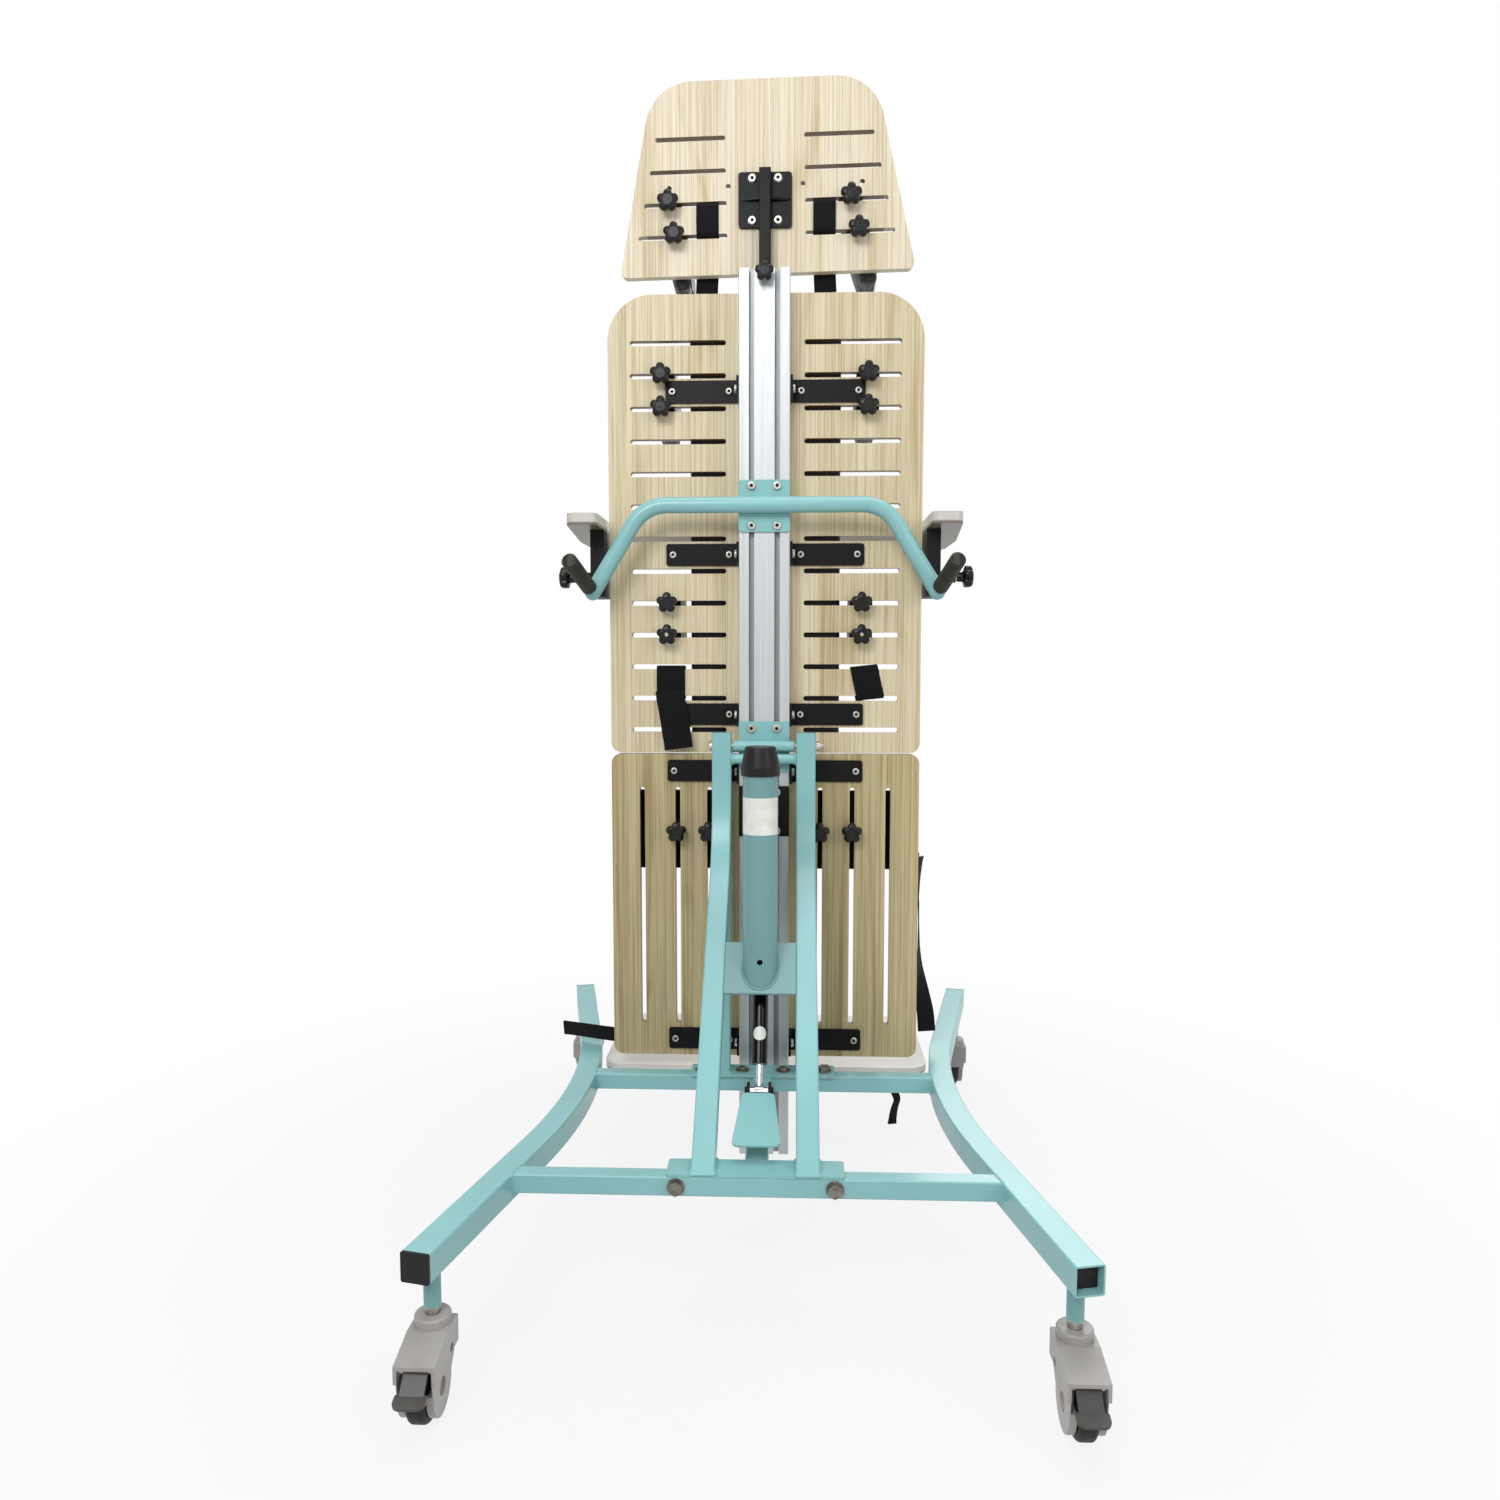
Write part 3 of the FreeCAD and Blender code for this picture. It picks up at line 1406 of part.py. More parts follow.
def head_post():
    half = post_section / 2
    side = head_plate_size / 2
    start = vec(0, spine_mid_y, post_bottom_z)
    section = square_section(half, half, post_edge_radius, X_AXIS)
    post = section(start, Z_AXIS).extrude(vec(0, 0, head_plate_z + side - post_bottom_z))
    seat_y = post_front_y - weld_bite
    outline = rectangle(-side, side, head_plate_z - side, head_plate_z + side)
    plate = plate_xz(outline, [head_plate_corner] * 4, seat_y, head_rear_y)
    parts = [post, plate]
    for sign in (-1, 1):
        tip_x = sign * (half - weld_bite)
        outline = [(tip_x, spine_mid_y), (sign * side, seat_y), (tip_x, seat_y)]
        low = head_plate_z - post_edge_radius
        gusset = plate_xy(outline, [0] * 3, low, head_plate_z + post_edge_radius)
        parts.append(gusset)
    body = fuse_all(parts)
    holes = []
    for x, z in head_bolt_places():
        low = vec(x, seat_y - cut_overrun, z)
        holes.append(rod(screw_shank_radius + pin_clearance, low, vec(x, head_rear_y + cut_overrun, z)))
    pieces = [body.cut(holes)]
    depth = head_rear_y - seat_y + screw_length - seat_gap
    for x, z in head_bolt_places():
        seat = vec(x, seat_y, z)
        pieces.append(button_bolt(seat, vec(0, -1, 0), button_radius, screw_shank_radius, depth, 0))
    return pieces


def head_post_knob():
    seat = vec(0, spine_rear_y - seat_gap, clamp_knob_z)
    depth = spine_depth / 2 - post_section / 2
    return star_knob(seat, vec(0, -1, 0), pivot_bolt_radius, depth, knob_radius)


# Supports that clamp in the slots

def support(upper, lower, rear_y, front_y, depth, height, drop, inner_sign):
    # upper and lower are the studs' places (x, z); the pad stands forward from a base plate
    top = vec(upper[0], 0, upper[1])
    low = vec(lower[0], 0, lower[1])
    up = direction(low, top)
    across = vec(up.z, 0, -up.x)
    plate_y0 = front_y + seat_gap
    plate_y1 = plate_y0 + support_plate_thickness
    middle = (top + low) * 0.5
    half_height = (top - low).Length / 2 + support_plate_margin
    half = support_plate_half

    def place(u, v):
        return middle + across * u + up * v + vec(0, plate_y0, 0)
    outline = rectangle(-half, half, -half_height, half_height)
    face = rounded_face(outline, [support_plate_thickness] * 4, place)
    stem = [face.extrude(vec(0, support_plate_thickness, 0))]
    stud_y = rear_y - seat_gap
    for point in (top, low):
        stem.append(rod(stud_radius, point + vec(0, stud_y, 0), point + vec(0, plate_y1, 0)))
    facing = across * inner_sign
    body = pillow(depth, height, side_pad_thickness, pad_crown, pad_draw)
    lift = up * (height / 2 - half_height - drop)
    origin = middle + lift - facing * (side_pad_thickness / 2) + vec(0, plate_y1 + depth / 2, 0)
    pieces = [fuse_all(stem), placed(body, origin, up.cross(facing), up, facing)]
    for point in (top, low):
        pieces.append(star_knob(point + vec(0, stud_y, 0), vec(0, -1, 0), stud_radius, 0, knob_radius))
    return pieces


def trunk_support(sign, x, row):
    upper = (sign * x, trunk_row_z(row))
    lower = (sign * x, trunk_row_z(row + 1))
    drop = (side_pad_height - slot_pitch) / 2 - support_plate_margin
    return support(upper, lower, board_rear_y, board_front_y, side_pad_depth, side_pad_height, drop, -sign)


def head_support(upper_x, lower_x, inner_sign):
    upper = lean_point(upper_x, head_row_z(head_slot_rows - 2))
    lower = lean_point(lower_x, head_row_z(head_slot_rows - 1))
    depth = head_pad_depth
    height = head_pad_height
    return support(upper, lower, head_rear_y, head_front_y, depth, height, head_pad_drop, inner_sign)


def knee_support(sign):
    z = leg_board_bottom_z + knee_knob_rise
    low = z - knee_plate_height / 2
    high = z + knee_plate_height / 2
    y0 = board_front_y + seat_gap
    y1 = y0 + support_plate_thickness
    x0 = min(sign * knee_plate_inner_x, sign * knee_plate_outer_x)
    x1 = max(sign * knee_plate_inner_x, sign * knee_plate_outer_x)
    stem = [plate_xz(rectangle(x0, x1, low, high), [support_plate_thickness] * 4, y0, y1)]
    rear = board_rear_y - seat_gap
    for x in (leg_slot_inner_x, leg_slot_middle_x):
        stem.append(rod(stud_radius, vec(sign * x, rear, z), vec(sign * x, y1, z)))
    width = x1 - x0 - 2 * knee_pad_inset
    height = knee_plate_height - 2 * knee_pad_inset
    pad = pillow(width, height, knee_pad_thickness, pad_crown, pad_draw)
    pad = placed(pad, vec((x0 + x1) / 2, y1, z), vec(-1, 0, 0), Z_AXIS, Y_AXIS)
    pieces = [fuse_all(stem), pad]
    for x in (leg_slot_inner_x, leg_slot_middle_x):
        pieces.append(star_knob(vec(sign * x, rear, z), vec(0, -1, 0), stud_radius, 0, knob_radius))
    return pieces


# Gas spring and foot pedal

def spring_point(distance):
    return spring_top + spring_along * distance


def gas_spring_cylinder():
    half = X_AXIS * (spring_eye_thickness / 2)
    eye = rod(spring_eye_radius, spring_top - half, spring_top + half)
    neck = rod(spring_neck_radius, spring_top, spring_point(spring_tube_start + weld_bite))
    tube = rod(spring_tube_radius, spring_point(spring_tube_start), spring_point(spring_tube_end))
    bore_top = spring_point(spring_tube_end - spring_rod_inside - spring_bore_spare)
    bore = rod(spring_rod_radius + pin_clearance, bore_top, spring_point(spring_tube_end + cut_overrun))
    wide = X_AXIS * spring_eye_thickness
    pin = rod(spring_pin_radius + pin_clearance, spring_top - wide, spring_top + wide)
    head = eye.fuse(neck).cut(pin)
    return head.fuse(tube.cut(bore))


def gas_spring_rod():
    half = X_AXIS * (spring_eye_thickness / 2)
    eye = rod(spring_eye_radius, spring_foot - half, spring_foot + half)
    shaft = rod(spring_rod_radius, spring_point(spring_tube_end - spring_rod_inside), spring_foot)
    # Spacers on both sides keep the eye in the middle of the bracket
    reach = X_AXIS * (foot_ear_gap / 2 - seat_gap)
    spacers = rod(spring_pin_radius + spring_pin_head, spring_foot - reach, spring_foot + reach)
    wide = X_AXIS * foot_ear_gap
    pin = rod(spring_pin_radius + pin_clearance, spring_foot - wide, spring_foot + wide)
    return eye.fuse([shaft, spacers]).cut(pin)


def foot_pedal():
    front = vec(0, pedal_front_y, leg_top_z + pedal_front_rise)
    rear = vec(0, pedal_rear_y, leg_top_z + pedal_rear_rise)
    along = direction(front, rear)
    up = along.cross(X_AXIS)
    length = (rear - front).Length
    narrow_edge = [(-pedal_front_half, 0), (pedal_front_half, 0)]
    outline = narrow_edge + [(pedal_rear_half, length), (-pedal_rear_half, length)]
    face = rounded_face(outline, [pedal_corner] * 4, lambda u, v: front + X_AXIS * u + along * v)
    parts = [face.extrude(up * -pedal_thickness)]
    outer = foot_ear_gap / 2 - seat_gap
    inner = outer - pedal_lug_thickness
    lug = pedal_lug_radius
    slope = (rear.z - front.z) / (rear.y - front.y)
    drop = pedal_thickness / 2
    rear_z = front.z + slope * (pedal_hinge_y - lug - front.y) - drop
    front_z = front.z + slope * (pedal_hinge_y + lug - front.y) - drop
    outline = [
        (pedal_hinge_y - lug, pedal_hinge_z), (pedal_hinge_y + lug, pedal_hinge_z),
        (pedal_hinge_y + lug, front_z), (pedal_hinge_y - lug, rear_z)]
    for x0, x1 in ((inner, outer), (-outer, -inner)):
        parts.append(plate_yz(outline, [0] * 4, x0, x1))
        parts.append(rod(lug, vec(x0, pedal_hinge_y, pedal_hinge_z), vec(x1, pedal_hinge_y, pedal_hinge_z)))
    wide = foot_ear_gap
    start = vec(-wide, pedal_hinge_y, pedal_hinge_z)
    bore = rod(pedal_pin_radius + pin_clearance, start, vec(wide, pedal_hinge_y, pedal_hinge_z))
    return fuse_all(parts).cut(bore)


# Straps

def rung_loop(x, z_low, z_high, width, rear_y, front_y):
    # Webbing wrapped round the wood between two slots
    y0 = rear_y - seat_gap - strap_thickness
    y1 = front_y + seat_gap + strap_thickness
    half = strap_thickness / 2
    outer = rectangle(y0, y1, z_low - half, z_high + half)
    inner = rectangle(y0 + strap_thickness, y1 - strap_thickness, z_low + half, z_high - half)
    x0 = x - width / 2
    x1 = x + width / 2
    ring = plate_yz(outer, [half] * 4, x0, x1)
    return ring.cut(plate_yz(inner, [0] * 4, x0 - cut_overrun, x1 + cut_overrun))


def trunk_straps():
    high = trunk_row_z(trunk_strap_row)
    low = trunk_row_z(trunk_strap_row + 1)
    pieces = []
    for x in (trunk_strap_left_x, trunk_strap_right_x):
        pieces.append(rung_loop(x, low, high, trunk_strap_width, board_rear_y, board_front_y))
    half = trunk_strap_width / 2
    x0 = trunk_strap_left_x - half
    x1 = trunk_strap_left_x + half
    # The left one's end passes behind the bracket and its screws
    y1 = board_rear_y - bracket_thickness - button_height - seat_gap
    y0 = y1 - strap_thickness
    shelf_low = low - strap_thickness / 2
    shelf_high = low + strap_thickness / 2
    shelf = block(x0, x1, y0, board_rear_y - seat_gap - strap_thickness / 2, shelf_low, shelf_high)
    tail = block(x0, x1, y0, y1, low - trunk_strap_hang, shelf_high)
    pieces[0] = fuse_all([pieces[0], shelf, tail])
    return pieces


def ankle_strap():
    # Stiff webbing along the board's front and out past its left edge
    y = board_front_y + seat_gap
    edge = board_half_width
    outline = [
        (-ankle_strap_start_x, y), (-edge, y), (-ankle_strap_end_x, ankle_strap_end_y),
        (-ankle_strap_end_x, ankle_strap_end_y + strap_thickness), (-edge, y + strap_thickness),
        (-ankle_strap_start_x, y + strap_thickness)]
    low = leg_board_bottom_z + ankle_strap_rise
    return plate_xy(outline, [0] * 6, low, low + ankle_strap_width)


def side_strap():
    # Webbing from beside the right knee pad, past the board's edge and down
    y0 = board_front_y + seat_gap
    top = leg_board_bottom_z + side_strap_top_rise
    low = leg_board_bottom_z + side_strap_bottom_rise
    shelf = top - side_strap_width
    start_x = knee_plate_outer_x + side_strap_clear
    x_a = board_half_width + side_strap_clear
    x_b = x_a + side_strap_width
    outline = [(start_x, shelf), (x_a, shelf), (x_a, low), (x_b, low), (x_b, top), (start_x, top)]
    half = strap_thickness / 2
    return plate_xz(outline, [0, 0, half, half, strap_thickness, 0], y0, y0 + strap_thickness)


def foot_strap():
    half = foot_strap_width / 2
    y = foot_rear_y + foot_strap_inset
    low = foot_bottom_z - foot_strap_drop
    return block(foot_strap_x - half, foot_strap_x + half, y, y + strap_thickness, low, foot_bottom_z)


def head_straps():
    low = head_row_z(head_slot_rows - 1)
    high = head_row_z(head_slot_rows - 2)
    pieces = []
    y0 = head_front_y + seat_gap
    end_z = trunk_top_z + head_strap_end_gap
    wide = base_length
    below = block(-wide, wide, -wide, wide, 0, end_z)
    half = head_strap_width / 2
    for x in (head_strap_left_x, head_strap_right_x):
        loop = rung_loop(x, low, high, head_strap_width, head_rear_y, head_front_y)
        tail = block(x - half, x + half, y0, y0 + strap_thickness, trunk_top_z - half, low + weld_bite)
        pieces.append(lean(fuse_all([loop, tail])).cut(below))
    return pieces


# Writing the nodes

def write(name, shapes):
    shape = shapes[0] if len(shapes) == 1 else Part.makeCompound(shapes)
    shape.exportStep(os.path.join("parts", name + ".step"))


right_leg = leg_tube()
write("right_leg", [right_leg])
write("left_leg", [mirrored(right_leg)])
rear_cap = leg_end_cap(-1)
front_cap = leg_end_cap(1)
write("leg_end_caps", [mirrored(rear_cap), front_cap, mirrored(front_cap)])
rear_bar = crossbar(rear_crossbar_y, [-rear_bolt_x, rear_bolt_x], Y_AXIS)
front_bar = crossbar(front_crossbar_y, front_bolt_places(), Z_AXIS)
write("crossbars", [rear_bar, front_bar])
write("centre_tube", [centre_tube()])
write("rear_base_plate", [rear_base_plate()])
write("base_bolts", base_bolts())
write("right_upright", [upright(upright_x)])
write("left_upright", [upright(-upright_x)])
write("front_braces", [brace_plate(), brace_tube(-upright_x), brace_tube(upright_x)])
write("pivot_cross_tube", [pivot_cross_tube()])
write("pivot_bolt", [pivot_bolt()])
write("stop_post", [stop_post()])
write("stop_cap", [stop_cap()])
write("pedal_bracket", [pedal_bracket()])

corners = {
    "rear_left": (-stem_x, -stem_y), "rear_right": (stem_x, -stem_y),
    "front_left": (-stem_x, stem_y), "front_right": (stem_x, stem_y)}
write("caster_stems", [caster_stem(x, y) for x, y in corners.values()])
fork_shape = fork()
wheel_shape = wheel()
brake_shape = brake_pedal()
for corner_name, (corner_x, corner_y) in corners.items():
    write(corner_name + "_fork", [caster_at(fork_shape, corner_x, corner_y)])
    write(corner_name + "_wheel", [caster_at(wheel_shape, corner_x, corner_y)])
    write(corner_name + "_brake", [caster_at(brake_shape, corner_x, corner_y)])

write("spine", [spine()])
write("pivot_block", [pivot_block()])
write("spring_bracket", [spring_bracket()])
write("handle_bar", [handle_bar()])
write("handle_grips", [handle_grip(-1), handle_grip(1)])
write("trunk_board", [trunk_board()])
write("leg_board", [leg_board()])
right_brackets = [board_bracket(z) for z in bracket_zs()]
write("board_brackets", right_brackets + [mirrored(piece) for piece in right_brackets])
write("frame_screws", frame_screws())
write("trunk_cushion", [trunk_cushion()])

write("head_post", head_post())
write("head_board", [head_board()])
write("head_post_knob", [head_post_knob()])
write("left_head_support", head_support(-head_left_upper_x, -head_left_lower_x, 1))
write("right_head_support", head_support(head_right_upper_x, head_right_lower_x, -1))
write("head_straps", head_straps())

for side_name, sign in (("left", -1), ("right", 1)):
    write(side_name + "_chest_support", trunk_support(sign, chest_knob_x, chest_row))
    write(side_name + "_hip_support", trunk_support(sign, hip_knob_x, hip_row))
    write(side_name + "_knee_support", knee_support(sign))

write("tray_top", [tray_top()])
write("tray_brackets", [tray_bracket(-1), tray_bracket(1)])
write("tray_knobs", [tray_knob(-1), tray_knob(1)])
write("footplate", [footplate()])
write("footplate_carriage", footplate_carriage())
write("gas_spring_cylinder", [gas_spring_cylinder()])
write("gas_spring_rod", [gas_spring_rod()])
write("foot_pedal", [foot_pedal()])
write("board_straps", trunk_straps() + [ankle_strap(), side_strap()])
write("foot_strap", [foot_strap()])

print("gas spring length", round(spring_length, 2))
print("stem places", round(stem_x, 2), round(stem_y, 2))
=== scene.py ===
import bpy
import bmesh
import math
from mathutils import Matrix, Vector, noise
from mathutils.bvhtree import BVHTree


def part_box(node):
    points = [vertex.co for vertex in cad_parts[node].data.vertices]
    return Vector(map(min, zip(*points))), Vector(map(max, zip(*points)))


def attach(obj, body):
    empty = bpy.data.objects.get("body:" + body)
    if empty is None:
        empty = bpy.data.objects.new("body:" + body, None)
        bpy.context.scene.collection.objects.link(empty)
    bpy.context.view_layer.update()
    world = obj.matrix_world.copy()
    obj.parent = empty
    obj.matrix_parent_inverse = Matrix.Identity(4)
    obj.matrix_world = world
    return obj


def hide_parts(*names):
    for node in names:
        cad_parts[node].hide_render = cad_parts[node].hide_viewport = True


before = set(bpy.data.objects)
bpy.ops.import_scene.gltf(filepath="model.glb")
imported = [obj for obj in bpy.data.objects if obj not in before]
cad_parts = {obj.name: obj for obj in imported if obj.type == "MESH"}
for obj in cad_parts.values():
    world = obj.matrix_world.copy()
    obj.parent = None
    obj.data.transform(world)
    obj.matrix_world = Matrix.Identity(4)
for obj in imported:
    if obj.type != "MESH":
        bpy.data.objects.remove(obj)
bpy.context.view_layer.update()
scene = bpy.context.scene
scene.view_settings.view_transform = "Standard"
MM = 0.001


# Node helpers

class Graph:
    """Short calls for the nodes of one shader tree."""

    def __init__(self, tree):
        self.tree = tree

    def add(self, kind, inputs=None, **settings):
        made = self.tree.nodes.new("ShaderNode" + kind)
        for key, value in settings.items():
            setattr(made, key, value)
        for key, value in (inputs or {}).items():
            self.feed(made.inputs[key], value)
        return made

    def feed(self, socket, value):
        if isinstance(value, bpy.types.NodeSocket):
            self.tree.links.new(value, socket)
        else:
            socket.default_value = value

    def math(self, operation, *values, clamp=False):
        made = self.add("Math", operation=operation, use_clamp=clamp)
        for socket, value in zip(made.inputs, values):
            self.feed(socket, value)
        return made.outputs[0]

    def fade(self, value, low, high, start=0.0, end=1.0):
        made = self.add("MapRange", {"Value": value, "From Min": low, "From Max": high,
                                     "To Min": start, "To Max": end}, interpolation_type="SMOOTHSTEP")
        return made.outputs["Result"]

    def blend(self, amount, first, second, how="MIX"):
        made = self.add("Mix", data_type="RGBA", blend_type=how)
        self.feed(made.inputs[0], amount)
        self.feed(made.inputs[6], first)
        self.feed(made.inputs[7], second)
        return made.outputs[2]

    def place(self, stretch=(1, 1, 1)):
        """Object coordinates in metres, scaled along each axis."""
        where = self.add("TexCoord").outputs["Object"]
        return self.add("Mapping", {"Vector": where, "Scale": stretch}).outputs["Vector"]

    def noise(self, vector, scale, detail=2.0, roughness=0.5, distortion=0.0):
        made = self.add("TexNoise", {"Vector": vector, "Scale": scale, "Detail": detail,
                                     "Roughness": roughness, "Distortion": distortion})
        return made.outputs["Fac"]


def effect(name, inputs, outputs, build):
    """A node group with named sockets; build gets the graph, the inputs and the output node."""
    tree = bpy.data.node_groups.new(name, "ShaderNodeTree")
    for label, kind, value in inputs:
        socket = tree.interface.new_socket(name=label, in_out="INPUT", socket_type="NodeSocket" + kind)
        socket.default_value = value
    for label, kind in outputs:
        tree.interface.new_socket(name=label, in_out="OUTPUT", socket_type="NodeSocket" + kind)
    graph = Graph(tree)
    entry = tree.nodes.new("NodeGroupInput")
    leave = tree.nodes.new("NodeGroupOutput")
    build(graph, entry.outputs, leave.inputs)
    return tree


def use(graph, group, inputs=None):
    made = graph.add("Group")
    made.node_tree = group
    for key, value in (inputs or {}).items():
        graph.feed(made.inputs[key], value)
    return made.outputs


# Effects that several finishes share

def build_worn_edges(g, given, out):
    sharp = g.add("NewGeometry").outputs["Normal"]
    soft = g.add("Bevel", {"Radius": given["Width"]}, samples=4).outputs[0]
    match = g.add("VectorMath", {0: sharp, 1: soft}, operation="DOT_PRODUCT").outputs["Value"]
    edge = g.fade(match, 0.995, 0.90)
    patches = g.fade(g.noise(g.place(), 60.0, 4.0), 0.35, 0.65)
    g.feed(out["Mask"], g.math("MULTIPLY", g.math("MULTIPLY", edge, patches), given["Amount"]))


def build_colour_drift(g, given, out):
    cloud = g.fade(g.noise(g.place(), given["Scale"], 3.0), 0.3, 0.7)
    g.feed(out["Color"], g.blend(cloud, given["Color"], given["Drift to"]))


def build_fine_relief(g, given, out):
    small = g.noise(g.place(), given["Scale"], 2.0)
    large = g.noise(g.place(), g.math("MULTIPLY", given["Scale"], 0.13), 2.0)
    g.feed(out["Height"], g.math("ADD", g.math("MULTIPLY", small, 0.85), g.math("MULTIPLY", large, 0.15)))


def build_settled_dust(g, given, out):
    normal = g.add("NewGeometry").outputs["Normal"]
    up = g.add("SeparateXYZ", {0: normal}).outputs["Z"]
    patches = g.fade(g.noise(g.place(), 35.0, 5.0, 0.6), 0.35, 0.75)
    g.feed(out["Mask"], g.math("MULTIPLY", g.math("MULTIPLY", g.fade(up, 0.4, 0.95), patches), given["Amount"]))


def build_oak_veneer(g, given, out):
    shift = g.add("CombineXYZ", {"X": given["Seed"], "Y": given["Seed"], "Z": given["Seed"]}).outputs[0]
    place = g.add("VectorMath", {0: g.add("TexCoord").outputs["Object"], 1: shift}, operation="ADD").outputs[0]

    def stretched(x, z):
        return g.add("Mapping", {"Vector": place, "Scale": (x, x, z)}).outputs["Vector"]

    bands = g.noise(stretched(30, 1.1), 1.0, 3.0, 0.55, 0.15)
    lines = g.noise(stretched(430, 3.4), 1.0, 4.0, 0.66)
    field = g.noise(stretched(4.6, 0.55), 1.0, 1.5, 0.4, 0.25)
    rings = g.math("PINGPONG", g.math("MULTIPLY", field, 26.0), 1.0)
    arches = g.math("MULTIPLY", g.fade(rings, 0.62, 0.97), g.fade(bands, 0.42, 0.62))
    pores = g.fade(g.noise(stretched(900, 26.0), 1.0, 2.0, 0.6), 0.60, 0.74)
    ticks = g.math("MULTIPLY", pores, g.fade(lines, 0.42, 0.62))
    tone = g.math("ADD", g.math("MULTIPLY", g.fade(lines, 0.40, 0.66), 0.62), g.math("MULTIPLY", arches, 0.30))
    tone = g.math("ADD", tone, g.math("MULTIPLY", g.fade(bands, 0.38, 0.64), 0.22))
    tone = g.math("ADD", tone, g.math("MULTIPLY", ticks, 0.40), clamp=True)
    g.feed(out["Color"], g.blend(tone, given["Light"], given["Dark"]))
    g.feed(out["Height"], g.math("SUBTRACT", 1.0, g.math("ADD", g.math("MULTIPLY", ticks, 0.7),
                                                        g.math("MULTIPLY", lines, 0.3))))


def build_woven_webbing(g, given, out):
    where = g.add("SeparateXYZ", {0: g.add("TexCoord").outputs["UV"]}).outputs
    across = g.math("DIVIDE", where["X"], given["Pitch"])
    along = g.math("DIVIDE", where["Y"], given["Pitch"])
    rib = g.math("ABSOLUTE", g.math("SINE", g.math("MULTIPLY", along, 3.1416)))
    zig = g.math("PINGPONG", across, 1.0)
    twill = g.math("ABSOLUTE", g.math("SINE", g.math("MULTIPLY", g.math("ADD", along, g.math("MULTIPLY", zig, 1.4)),
                                                     3.1416)))
    weave = g.math("ADD", g.math("MULTIPLY", rib, 0.35), g.math("MULTIPLY", twill, 0.65))
    g.feed(out["Height"], weave)
    # The colour follows the weave's height, darker in its valleys: painted shade on webbing of one dye.
    g.feed(out["Color"], g.blend(weave, given["Valley"], given["Ridge"]))


def build_pebbled_vinyl(g, given, out):
    cells = g.add("TexVoronoi", {"Vector": g.place(), "Scale": given["Scale"], "Randomness": 0.9},
                  feature="DISTANCE_TO_EDGE").outputs["Distance"]
    wrinkle = g.noise(g.place(), 30.0, 4.0, 0.55, 0.4)
    g.feed(out["Height"], g.math("ADD", g.math("MULTIPLY", g.fade(cells, 0.0, 0.28), 0.7),
                                 g.math("MULTIPLY", wrinkle, 0.5)))


def build_drawn_lines(g, given, out):
    fine = g.noise(g.place((1400, 1400, 7)), 1.0, 3.0, 0.6)
    broad = g.noise(g.place((160, 160, 2.5)), 1.0, 2.0, 0.5)
    g.feed(out["Value"], g.math("ADD", g.math("MULTIPLY", fine, 0.6), g.math("MULTIPLY", broad, 0.4)))


worn_edges = effect("worn_edges", [("Width", "Float", 0.001), ("Amount", "Float", 0.5)], [("Mask", "Float")],
                    build_worn_edges)
colour_drift = effect("colour_drift", [("Color", "Color", (1, 1, 1, 1)), ("Drift to", "Color", (1, 1, 1, 1)),
                                       ("Scale", "Float", 4.0)], [("Color", "Color")], build_colour_drift)
fine_relief = effect("fine_relief", [("Scale", "Float", 600.0)], [("Height", "Float")], build_fine_relief)
settled_dust = effect("settled_dust", [("Amount", "Float", 0.3)], [("Mask", "Float")], build_settled_dust)
oak_veneer = effect("oak_veneer", [("Light", "Color", (1, 1, 1, 1)), ("Dark", "Color", (0, 0, 0, 1)),
                                   ("Seed", "Float", 0.0)], [("Color", "Color"), ("Height", "Float")],
                    build_oak_veneer)
woven_webbing = effect("woven_webbing", [("Pitch", "Float", 0.002), ("Valley", "Color", (0, 0, 0, 1)),
                                         ("Ridge", "Color", (0, 0, 0, 1))], [("Color", "Color"), ("Height", "Float")],
                       build_woven_webbing)
pebbled_vinyl = effect("pebbled_vinyl", [("Scale", "Float", 900.0)], [("Height", "Float")], build_pebbled_vinyl)
drawn_lines = effect("drawn_lines", [], [("Value", "Float")], build_drawn_lines)


def srgb(text):
    """A colour written as six hexadecimal digits, in linear values."""
    parts = [int(text[k:k + 2], 16) / 255 for k in (0, 2, 4)]
    return tuple((c / 12.92 if c <= 0.04045 else ((c + 0.055) / 1.055) ** 2.4) for c in parts) + (1.0,)


# Finishes

def finish(name, round_edges=0.0, **constants):
    """A material with one Principled shader; returns the material, its graph, the shader and the soft normal."""
    material = bpy.data.materials.new(name)
    material.use_nodes = True
    material.node_tree.nodes.clear()
    g = Graph(material.node_tree)
    shader = g.add("BsdfPrincipled")
    for key, value in constants.items():
        shader.inputs[key.replace("_", " ")].default_value = value
    g.add("OutputMaterial", {"Surface": shader.outputs[0]})
    normal = None
    if round_edges > 0:
        normal = g.add("Bevel", {"Radius": round_edges}, samples=4).outputs[0]
    return material, g, shader, normal


def relief(g, shader, height, distance, strength, normal=None):
    inputs = {"Height": height, "Distance": distance, "Strength": strength}
    if normal is not None:
        inputs["Normal"] = normal
    g.feed(shader.inputs["Normal"], g.add("Bump", inputs).outputs[0])


def painted(name, colour, drift, edge, roughness, speck_scale, speck_height, dust=0.15, wear=0.5, specular=0.5):
    material, g, shader, normal = finish(name, 0.0009, Roughness=roughness, Specular_IOR_Level=specular)
    base = use(g, colour_drift, {"Color": srgb(colour), "Drift to": srgb(drift), "Scale": 5.0})["Color"]
    mask = use(g, worn_edges, {"Width": 0.0012, "Amount": wear})["Mask"]
    base = g.blend(mask, base, srgb(edge))
    grime = use(g, settled_dust, {"Amount": dust})["Mask"]
    base = g.blend(grime, base, srgb("B9B5AA"))
    g.feed(shader.inputs["Base Color"], base)
    g.feed(shader.inputs["Roughness"], g.math("ADD", g.math("MULTIPLY", grime, 0.4), roughness))
    relief(g, shader, use(g, fine_relief, {"Scale": speck_scale})["Height"], speck_height, 0.5, normal)
    return material


